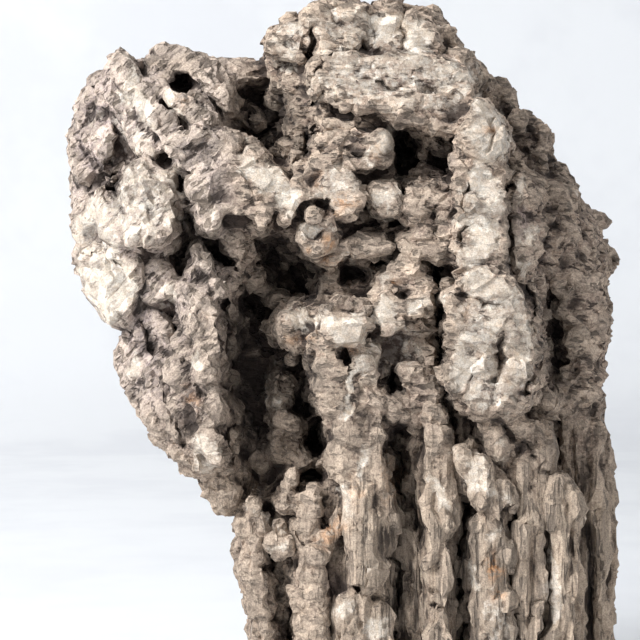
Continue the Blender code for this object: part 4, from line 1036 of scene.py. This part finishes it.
def ridges(points, way, stretch, size, height, channel, octaves=3):
    """Sharp-crested ridges that run one way, with smaller ones on them."""
    warp = np.stack([noise_at(points, size * 2.5, channel + 20 + axis) for axis in range(3)], axis=1)
    along = drawn_out(points + warp * size * 0.7, way, stretch)
    total = np.zeros(len(points))
    for octave in range(octaves):
        crest = 1 - 2.6 * np.abs(noise_at(along, size / 2**octave, channel + octave))
        total += np.maximum(crest, -1) * 0.55**octave
    return total * height


def pits(points, size, depth, channel):
    """Small round pits in some of the cells."""
    gap, seeds = nearest_seed(points, size, channel)
    chosen = cell_random(seed_names(seeds, size), 3) < PITTED
    return np.maximum(0, 1 - (gap / PIT_RADIUS) ** 2) * chosen * depth


# %% Wearing the skin
points, normals = points_and_normals(rock.data)
fluted, head = fluting(points), heading(points)
plate = (1 - head) * (1 - fluted)
quartz = quartz_share(points, normals)
crust, calm = 1 - 0.75 * quartz, 1 - 0.8 * quartz
rotten = smooth_step(fractal(points, 24 * MM, 80), -0.3, 0.5)
rough = (0.45 + 0.75 * rotten) * crust
rise = facet_rise(points, FACET, FACET_RISE) * (1 - 0.6 * fluted) * 0.6
rise += flute_rise(points, FLUTE, FLUTE_DEPTH) * fluted
rise += ledges(points, PLATE_ACROSS, 8 * MM, 1.8 * MM, 50) * plate * crust
rise += ledges(points, HEAD_ACROSS, 9 * MM, 1.6 * MM, 60) * head * crust
rise += ledges(points, PLATE_ACROSS, 3.4 * MM, 1.1 * MM, 120) * plate * crust * 0.6
dipping, level, upright = (
    drawn_out(points, way, stretch) for way, stretch in ((HEAD_WAY, 2.5), (PLATE_WAY, 1.8), (TRUNK_WAY, 9))
)
for size, steep, channel in FINE_FACETS:
    rise += facets(dipping, size, steep, channel) * head * calm * 0.75
    rise += facets(level, size, steep, channel + 20) * plate * calm
    rise += facets(upright, size * 0.8, steep * 0.7, channel + 40) * fluted * calm
rise += ridges(points, PLATE_WAY, 2.2, 8 * MM, 1.5 * MM, 90) * plate * rough
rise += ridges(points, HEAD_WAY, 3, 10 * MM, 1.6 * MM, 100) * head * (0.5 + 0.5 * rough)
rise += ridges(points, TRUNK_WAY, 7, 6 * MM, 2.2 * MM, 110) * fluted * (1 - 0.4 * quartz)
rise += fractal(points, 2.2 * MM, 140, 2) * 0.6 * MM * rough
rise -= pits(points, 4 * MM, 1.4 * MM, 150) * rough * rotten * (1 - 0.6 * fluted)
rise += QUARTZ_PROUD * quartz
set_points(rock.data, points + normals * rise[:, None])
most = round(float(np.abs(rise).max()) / MM, 1)
print("the wear moves", len(points), "points by up to", most, "mm")

# %% [markdown]
# ## Thinning and sawing
# So fine a skin has far too many faces. Flat places need few of them, so a Decimate collapse keeps them
# for the edges. The plain back is thinned first, and harder, so that the front can keep more. Crumbs
# that hang free are dropped, and the foot is sawn off flat.

# %% Thinning the skin
FRONT_TRIANGLES, BACK_TRIANGLES = 164000, 46000
SHARP = math.radians(32)  # an edge that bends by more than this is shaded as sharp


def front_verts(mesh):
    """Which vertices lie in the carved front and the sides, rather than on the plain back."""
    points, _ = points_and_normals(mesh)
    return points[:, 1] < BACK_FROM


def thin_one_side(obj, front, triangles):
    """Collapses the small faces on one side until that side has so many triangles."""
    mesh = obj.data
    side = front_verts(mesh) == front
    corners = np.empty(len(mesh.polygons) * 3, dtype=int)
    mesh.polygons.foreach_get("vertices", corners)
    here = int(side[corners.reshape(-1, 3)[:, 0]].sum())
    there = len(mesh.polygons) - here
    group = obj.vertex_groups.new(name="side")
    group.add([int(index) for index in np.flatnonzero(side)], 1, "REPLACE")
    thin = obj.modifiers.new("Thin", "DECIMATE")
    thin.vertex_group = group.name
    thin.ratio = (there + triangles) / (there + here)
    bake(obj)
    obj.vertex_groups.clear()


def keep_largest(bm):
    """Drops any crumb or sealed bubble that the remeshing left apart from the rock."""
    left = set(bm.verts)
    islands = []
    while left:
        seen = {left.pop()}
        front = list(seen)
        while front:
            for edge in front.pop().link_edges:
                for vert in edge.verts:
                    if vert in left:
                        left.remove(vert)
                        seen.add(vert)
                        front.append(vert)
        islands.append(seen)
    islands.sort(key=len)
    loose = [vert for island in islands[:-1] for vert in island]
    bmesh.ops.delete(bm, geom=loose, context="VERTS")
    return len(islands)


def saw_foot(bm):
    """Cuts the rock off flat at z = 0 and closes the cut."""
    everything = bm.verts[:] + bm.edges[:] + bm.faces[:]
    bmesh.ops.bisect_plane(bm, geom=everything, plane_no=(0, 0, 1), clear_inner=True)
    rim = [edge for edge in bm.edges if edge.is_boundary]
    made = bmesh.ops.triangle_fill(bm, edges=rim, use_beauty=True, use_dissolve=False)["geom"]
    lid = [item for item in made if isinstance(item, bmesh.types.BMFace)]
    bm.normal_update()
    bmesh.ops.reverse_faces(bm, faces=[face for face in lid if face.normal.z > 0])
    return len(lid)


rock.modifiers.new("Triangulate", "TRIANGULATE")
bake(rock)
thin_one_side(rock, False, BACK_TRIANGLES)
thin_one_side(rock, True, FRONT_TRIANGLES)
bm = bmesh.new()
bm.from_mesh(rock.data)
print(keep_largest(bm), "bodies were found, and the largest is kept")
print("the sawn foot is closed by", saw_foot(bm), "triangles")
bm.to_mesh(rock.data)
bm.free()
rock.data.shade_smooth()
rock.data.set_sharp_from_angle(angle=SHARP)
print("the finished skin has", len(rock.data.polygons), "triangles")

# %% [markdown]
# ## What the colours need to know
# Dirt lies in valleys, shade falls there too, and the wind cleans the ridges. How far a point lies
# below its neighbours says which it is on: the skin is smoothed, a little for fine valleys and a lot for
# broad ones, and compared with itself. These values are stored on the mesh as attributes, and the
# material reads them by name. The valley, deep and cave values darken the colour with dirt and with
# painted shade.

# %% Valleys, caves, quartz, stains and painted shade as attributes
FINE_ROUNDS, BROAD_ROUNDS = (8, 1), (60, 3)  # rounds of smoothing, for the ground and for the skin on it
FINE_FULL, BROAD_FULL = 1.5 * MM, 4.5 * MM  # a valley this deep counts as 1
CAVE_DEEP = (3 * MM, 20 * MM)  # a cave's share goes from 0 at the first depth to 1 at the second
STAIN_SOFT = 0.9


def smoothed(middles, points, rounds):
    for _ in range(rounds):
        points = middles(points)
    return points


def store(mesh, name, values):
    attribute = mesh.attributes.new(name, "FLOAT", "POINT")
    attribute.data.foreach_set("value", values.astype(np.float32))


def valley_depth(middles, points, normals, rounds):
    """How far the skin lies below the ground round it, in metres: below 0 on a ridge."""
    ground, skin = (smoothed(middles, points, count) for count in rounds)
    return ((ground - skin) * normals).sum(axis=1)


points, normals = points_and_normals(rock.data)
shown, sight = drawn(points)
ragged = strayed(shown, 6 * MM, 2.5 * MM)
middles = neighbour_middles(rock.data)
fine_valley = valley_depth(middles, points, normals, FINE_ROUNDS)
broad_valley = valley_depth(middles, points, normals, BROAD_ROUNDS)
front = smooth_step(-(normals * sight).sum(axis=1), -0.3, 0.1)
# The valley and deep values later darken the colour: partly dirt, partly painted shade in the hollows.
store(rock.data, "valley", np.clip(fine_valley / FINE_FULL, -1, 1))
store(rock.data, "deep", np.clip(broad_valley / BROAD_FULL, -1, 1))
# The cave value later paints shade, with dark dirt, into the deep hollows.
store(rock.data, "cave", smooth_step(hollow_depth(ragged), *CAVE_DEEP) * front)
store(rock.data, "quartz", quartz_share(points, normals))
# The umber value is partly brown stain and partly painted shade.
for name, patches in (("rust", RUST), ("mauve", MAUVE), ("umber", UMBER_AND_SHADE)):
    store(rock.data, name, patch_share(ragged, patches, STAIN_SOFT) * front)
store(rock.data, "fluted", fluting(points))
store(rock.data, "head", heading(points) * (1 - fluting(points)))
print("the deepest fine valley is", round(float(fine_valley.max()) / MM, 1), "mm deep")

# %% [markdown]
# ## The stone's colours
# The crust is a patchwork of beige, grey and brown at every scale, so its colour comes from noises of
# several sizes, in a node group that is placed more than once with different values. The group also
# gives small leaning facets, each with a tone of its own. It puts out only values, and the shader stays
# in the material.

# %% A node group for mottling


def node(tree, kind, at=(0, 0), **settings):
    """Adds a node and sets its properties."""
    made = tree.nodes.new(kind)
    made.location = at
    for key, value in settings.items():
        setattr(made, key, value)
    return made


def feed(tree, target, **sources):
    """Sets or links a node's inputs: n0, n1 and so on by number, and others by name, with _ for a space."""
    for key, source in sources.items():
        numbered = key[0] == "n" and key[1:].isdigit()
        socket = target.inputs[int(key[1:]) if numbered else key.replace("_", " ")]
        if isinstance(source, bpy.types.NodeSocket):
            tree.links.new(source, socket)
        else:
            socket.default_value = source
    return target


def math_node(tree, operation, first, second=0.0, clamp=False):
    made = node(tree, "ShaderNodeMath", operation=operation, use_clamp=clamp)
    feed(tree, made, n0=first, n1=second)
    return made.outputs[0]


def part_of(tree, value, share):
    return math_node(tree, "MULTIPLY", value, share)


def ramp(tree, value, low, high, to_low=0.0, to_high=1.0):
    """Maps low..high of a value smoothly to to_low..to_high."""
    made = node(tree, "ShaderNodeMapRange", interpolation_type="SMOOTHSTEP")
    feed(tree, made, n0=value, n1=low, n2=high, n3=to_low, n4=to_high)
    return made.outputs[0]


def add_sockets(group, inputs, outputs):
    made = {"socket_type": "NodeSocketFloat"}
    for name, value in inputs:
        group.interface.new_socket(name=name, in_out="INPUT", **made).default_value = value
    for name in outputs:
        group.interface.new_socket(name=name, in_out="OUTPUT", **made)


def noise_node(tree, place, size, detail, rough):
    made = node(tree, "ShaderNodeTexNoise")
    scale = math_node(tree, "DIVIDE", 1.0, size)
    feed(tree, made, Vector=place, Scale=scale, Detail=detail, Roughness=rough)
    return made.outputs["Fac"]


def facet_nodes(tree, place, size):
    """Leaning facets, one to a cell: the height of each at a point, and a random tone for each."""
    cells = node(tree, "ShaderNodeTexVoronoi")
    feed(tree, cells, Vector=place, Scale=math_node(tree, "DIVIDE", 1.0, size))
    away = node(tree, "ShaderNodeVectorMath", operation="SUBTRACT")
    feed(tree, away, n0=place, n1=cells.outputs["Position"])
    lean = node(tree, "ShaderNodeVectorMath", operation="SUBTRACT")
    feed(tree, lean, n0=cells.outputs["Color"], n1=(0.5, 0.5, 0.5))
    rise = node(tree, "ShaderNodeVectorMath", operation="DOT_PRODUCT")
    feed(tree, rise, n0=away.outputs[0], n1=lean.outputs[0])
    parts = node(tree, "ShaderNodeSeparateColor")
    feed(tree, parts, Color=cells.outputs["Color"])
    return math_node(tree, "DIVIDE", rise.outputs["Value"], size), parts.outputs["Red"]


FACET_HEIGHT, GRAIN_HEIGHT, PIT_HEIGHT = 3.2, 1.4, 0.6
FACET_SIZE, GRAIN_SIZE = 3.0, 2.4  # in specks


def mottle_group():
    """Blotches, specks, pits and facets, drawn out along a direction in the front's plane, and a height."""
    group = bpy.data.node_groups.new("Mottle", "ShaderNodeTree")
    inputs = (("Blotch Size", 9 * MM), ("Speck Size", 1.1 * MM), ("Stretch", 1.0), ("Tilt", 0.0))
    add_sockets(group, inputs, ("Blotch", "Speck", "Pits", "Tone", "Height"))
    come, go = node(group, "NodeGroupInput"), node(group, "NodeGroupOutput")
    on_rock = node(group, "ShaderNodeTexCoord").outputs["Object"]
    turned = node(group, "ShaderNodeVectorRotate", rotation_type="Y_AXIS")
    feed(group, turned, Vector=on_rock, Angle=come.outputs["Tilt"])
    stretch = node(group, "ShaderNodeCombineXYZ")
    feed(group, stretch, X=1.0, Y=1.0, Z=come.outputs["Stretch"])
    along = node(group, "ShaderNodeVectorMath", operation="MULTIPLY")
    feed(group, along, n0=turned.outputs[0], n1=stretch.outputs[0])
    place = along.outputs[0]
    size = come.outputs["Speck Size"]
    blotch = ramp(group, noise_node(group, place, come.outputs["Blotch Size"], 4.0, 0.66), 0.41, 0.59)
    speck = ramp(group, noise_node(group, place, size, 2.0, 0.7), 0.42, 0.58)
    rough = noise_node(group, place, part_of(group, size, GRAIN_SIZE), 2.0, 0.6)
    pits = ramp(group, rough, 0.46, 0.38)
    facet, tone = facet_nodes(group, place, part_of(group, size, FACET_SIZE))
    raised = part_of(group, facet, FACET_HEIGHT), part_of(group, rough, GRAIN_HEIGHT)
    height = math_node(group, "ADD", *raised)
    height = math_node(group, "SUBTRACT", height, part_of(group, pits, PIT_HEIGHT))
    feed(group, go, Blotch=blotch, Speck=speck, Pits=pits, Tone=tone, Height=height)
    return group


mottle = mottle_group()
put_out = [item.name for item in mottle.interface.items_tree if item.in_out == "OUTPUT"]
print("the group puts out", put_out)

# %% [markdown]
# ## The material
# Colours are mixed in the order in which they are laid: crust, a paler tint on the head that is
# partly painted light, streaks on the flutes, mauve stains, umber patches that are partly painted shade,
# pale specks, and dark pits that are partly painted shade, then quartz with its own milky blotches,
# rust, dirt with painted shade in the valleys and the caves, and pale dust on the ridges. Last, every
# small facet gets its tone. Quartz is a little glossy and the crust is dead matt. Facets finer than the
# mesh come from a bump.

# %% Weathered limestone with quartz
MOTTLES = {  # blotch and speck in millimetres, stretch, and tilt in degrees
    "broad": (26, 5, 1.0, 0),
    "fine": (3.4, 0.6, 1.0, 0),
    "upright": (6, 1.1, 0.09, 0),
    "leaning": (6, 1.1, 0.35, -48),
    "level": (6, 1.1, 0.4, 85),
    "milky": (5, 1.6, 1.0, 0),
}
FACET_BUMP = 1 * MM


def paint(red, green, blue):
    """A colour as a painter's chart gives it, 0 to 255, made linear for the shader."""
    return (*(((c / 255 + 0.055) / 1.055) ** 2.4 if c > 10 else c / 3294.6 for c in (red, green, blue)), 1)


def mixed(tree, share, under, over, blend="MIX"):
    made = node(tree, "ShaderNodeMix", data_type="RGBA", blend_type=blend)
    feed(tree, made, n0=share, n6=under, n7=over)
    return made.outputs[2]


def attribute(tree, name):
    return node(tree, "ShaderNodeAttribute", attribute_name=name).outputs["Fac"]


def placed(tree, blotch, speck, stretch, tilt):
    """The outputs of a mottling: the sizes in metres, and the tilt in degrees."""
    made = node(tree, "ShaderNodeGroup", node_tree=mottle)
    feed(tree, made, Blotch_Size=blotch, Speck_Size=speck, Stretch=stretch, Tilt=math.radians(tilt))
    return made.outputs


def weighed(tree, shares, values):
    """The sum of several values, each times its share."""
    total = 0.0
    for share, value in zip(shares, values):
        total = math_node(tree, "ADD", total, part_of(tree, share, value))
    return total


def layered(tree, colour, *layers):
    """Lays colours over a colour in turn, each where its value is high, and by so much of it."""
    for value, amount, over in layers:
        colour = mixed(tree, part_of(tree, value, amount), colour, over)
    return colour


# Dark colours that paint dirt and shade into pits, valleys and caves, and a pale dust for the ridges.
DIRT_AND_SHADE, PEAT_AND_SHADE, CAVE_DIRT_AND_SHADE, DUST = paint(56, 45, 39), paint(76, 60, 52), paint(44, 35, 30), paint(216, 196, 174)


def crust_colour(tree, values, shares):
    """The limestone's own colours and what stains it, with a paler tint on the head that is partly painted
    light from the left, and painted shade in the umber patches and the pits.
    """
    broad, fine, fluted, head = values["broad"], values["fine"], values["fluted"], values["head"]
    streak, speck, pits = shares["Blotch"], shares["Speck"], shares["Pits"]
    crust = mixed(tree, broad["Blotch"], paint(192, 168, 146), paint(160, 138, 122))
    flutes = mixed(tree, streak, paint(172, 153, 132), paint(138, 119, 100))
    flutes = layered(tree, flutes, (speck, 0.5, paint(112, 93, 76)))
    return layered(
        tree,
        crust,
        (broad["Speck"], 0.6, paint(132, 112, 100)),
        (fine["Blotch"], 0.45, paint(206, 188, 168)),
        (streak, 0.5, paint(140, 120, 108)),
        # The head's paler, pinker tint: partly its own colour, partly painted light from the window on the
        # left.
        (head, 0.5, paint(186, 174, 169)),
        (fluted, 0.8, flutes),
        (values["mauve"], 0.6, paint(160, 142, 142)),
        # Umber: partly brown stain, partly painted shade.
        (values["umber"], 0.75, paint(96, 80, 67)),
        (speck, 0.35, DUST),
        # Dark pits: the finer ones are dark brown specks, and the ones that the bump sinks are painted near
        # black, as dirt and as painted shade.
        (fine["Pits"], 0.5, PEAT_AND_SHADE),
        (pits, 0.9, DIRT_AND_SHADE),
    )


def quartz_colour(tree, milky):
    vein = mixed(tree, milky["Blotch"], paint(228, 218, 204), paint(198, 186, 172))
    return layered(tree, vein, (milky["Speck"], 0.35, paint(196, 170, 138)))


def quartz_edge(tree, quartz, fine, pits):
    """The quartz's share, with a ragged edge."""
    ragged = math_node(tree, "ADD", quartz, part_of(tree, fine["Blotch"], 0.4))
    ragged = math_node(tree, "SUBTRACT", ragged, part_of(tree, pits, 0.15))
    return ramp(tree, ragged, 0.34, 1.05)


def toned(tree, colour, speck, tone):
    """The colour, darker or lighter by the speck and the facet that a point is on."""
    tint = ramp(tree, speck, 0.0, 1.0, 0.7, 0.96)
    tint = math_node(tree, "MULTIPLY", tint, ramp(tree, tone, 0.1, 0.9, 0.74, 1.1))
    grey = node(tree, "ShaderNodeCombineColor")
    feed(tree, grey, Red=tint, Green=tint, Blue=tint)
    return mixed(tree, 1.0, colour, grey.outputs[0], "MULTIPLY")


def stone_material():
    material = bpy.data.materials.new("weathered limestone")
    material.use_nodes = True
    tree = material.node_tree
    names = ("quartz", "valley", "deep", "cave", "fluted", "head", "rust", "mauve", "umber")
    values = {name: attribute(tree, name) for name in names}
    for name, (blotch, speck, stretch, tilt) in MOTTLES.items():
        values[name] = placed(tree, blotch * MM, speck * MM, stretch, tilt)
    quartz, valley, fine = values["quartz"], values["valley"], values["fine"]
    plate = math_node(tree, "SUBTRACT", math_node(tree, "SUBTRACT", 1.0, values["fluted"]), values["head"])
    zones = (values["fluted"], values["head"], plate)
    shares = {
        name: weighed(tree, zones, [values[kind][name] for kind in ("upright", "leaning", "level")])
        for name in ("Blotch", "Speck", "Pits", "Tone", "Height")
    }
    vein_share = quartz_edge(tree, quartz, fine, shares["Pits"])
    crust, vein = crust_colour(tree, values, shares), quartz_colour(tree, values["milky"])
    colour = mixed(tree, vein_share, crust, vein)
    rust_share = part_of(tree, values["rust"], ramp(tree, fine["Blotch"], 0.0, 0.7))
    # Dirt and painted shade darken the valleys, the broad hollows and the caves, less on quartz. Pale dust
    # lightens the ridges.
    off_quartz_darkening = ramp(tree, vein_share, 0.0, 1.0, 1.0, 0.45)
    colour = layered(
        tree,
        mixed(tree, rust_share, colour, paint(186, 128, 74)),
        (ramp(tree, valley, 0.0, 0.5, 0.0, 0.9), off_quartz_darkening, DIRT_AND_SHADE),
        (ramp(tree, values["deep"], 0.0, 0.8), 0.7, PEAT_AND_SHADE),
        (values["cave"], 0.6, CAVE_DIRT_AND_SHADE),
        (ramp(tree, valley, -0.05, -0.6), 0.25, DUST),
    )
    colour = toned(tree, colour, fine["Speck"], shares["Tone"])
    roughness = ramp(tree, vein_share, 0.0, 1.0, 0.95, 0.42)
    height = part_of(tree, shares["Height"], ramp(tree, quartz, 0.0, 0.8, 1.0, 0.25))
    bump = node(tree, "ShaderNodeBump")
    feed(tree, bump, Strength=1.0, Distance=FACET_BUMP, Height=height)
    shader = tree.nodes["Principled BSDF"]
    feed(tree, shader, Base_Color=colour, Roughness=roughness, Normal=bump.outputs[0])
    return material


rock.data.materials.append(stone_material())
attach(rock, "root")
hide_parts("rock")
print("the material has", len(rock.data.materials[0].node_tree.nodes), "nodes")

# %% [markdown]
# ## The studio
# The rock stands on a seamless pale sweep, as in a portrait studio: a floor that curves up into a
# wall all round, so that it looks the same from every side. It is spun from one line of points.

# %% The sweep
SWEEP = [(0.001, 0), (1.6, 0), (1.9, 0.05), (2.1, 0.2), (2.2, 0.5), (2.2, 3.2)]


def make_sweep():
    bm = bmesh.new()
    line = [bm.verts.new((radius, 0, height)) for radius, height in SWEEP]
    edges = [bm.edges.new(pair) for pair in itertools.pairwise(line)]
    full = {"angle": math.tau, "steps": 64, "axis": (0, 0, 1), "cent": (0, 0, 0), "use_merge": True}
    bmesh.ops.spin(bm, geom=line + edges, **full)
    bmesh.ops.recalc_face_normals(bm, faces=bm.faces[:])
    mesh = bpy.data.meshes.new("sweep")
    bm.to_mesh(mesh)
    bm.free()
    mesh.shade_smooth()
    return bpy.data.objects.new("sweep", mesh)


def paper_material():
    material = bpy.data.materials.new("pale paper")
    material.use_nodes = True
    tree = material.node_tree
    grain = placed(tree, 0.4, 0.02, 1.0, 0)
    colour = mixed(tree, grain["Blotch"], paint(229, 230, 231), paint(223, 224, 226))
    feed(tree, tree.nodes["Principled BSDF"], Base_Color=colour, Roughness=0.9)
    return material


sweep = make_sweep()
sweep.data.materials.append(paper_material())
bpy.context.scene.collection.objects.link(sweep)
print("the sweep is", 2 * SWEEP[-1][0], "m across")

# %% [markdown]
# ## Light and camera
# Daylight from a big window on the left does most of the work. A weak light on the right and the pale
# room fill the shadows, and a third light brightens the wall behind. The camera is the drawing's eye,
# so every form falls where it was drawn.

# %% Window light and room light
ROCK_MIDDLE = (0, 0, 0.19)
WINDOWS = [  # name, place and size in metres, watts, colour, and what it is aimed at
    ("left window", (-1.3, -1.0, 1.25), (0.9, 0.9), 66, (0.965, 0.98, 1.0), ROCK_MIDDLE),
    ("right fill", (1.5, -0.9, 0.6), (1.0, 1.2), 3, (0.95, 0.97, 1.0), ROCK_MIDDLE),
    ("wall light", (-1.0, 0.9, 1.7), (1.4, 0.8), 10.5, (0.98, 0.985, 1.0), (-1.5, 2.2, 0.7)),
]
ROOM_COLOUR, ROOM_STRENGTH = (0.97, 0.98, 1.0, 1), 0.16


def window(name, place, size, power, colour, aim):
    light = bpy.data.lights.new(name, "AREA")
    light.shape = "RECTANGLE"
    light.size, light.size_y = size
    light.energy = power
    light.color = colour
    lamp = bpy.data.objects.new(name, light)
    lamp.location = place
    lamp.rotation_euler = (Vector(aim) - lamp.location).to_track_quat("-Z", "Y").to_euler()
    lamp.visible_camera = False
    bpy.context.scene.collection.objects.link(lamp)


for lamp in WINDOWS:
    window(*lamp)
world = bpy.data.worlds.new("room")
bpy.context.scene.world = world
world.use_nodes = True
room = world.node_tree.nodes["Background"]
feed(world.node_tree, room, Color=ROOM_COLOUR, Strength=ROOM_STRENGTH)
bpy.context.scene.view_settings.view_transform = "Standard"
print(len(WINDOWS), "area lights")

# %% The camera
SEEN_WIDTH, SENSOR_MM = 256 * MM, 36
eye = bpy.data.cameras.new("eye")
eye.sensor_width = SENSOR_MM
eye.lens = eye.sensor_width * (FRONT_Y - EYE.y) / SEEN_WIDTH
camera = bpy.data.objects.new("eye", eye)
camera.location = EYE
camera.rotation_euler = (math.radians(90), 0, 0)
bpy.context.scene.collection.objects.link(camera)
bpy.context.scene.camera = camera
print("the lens is", round(eye.lens, 1), "mm")
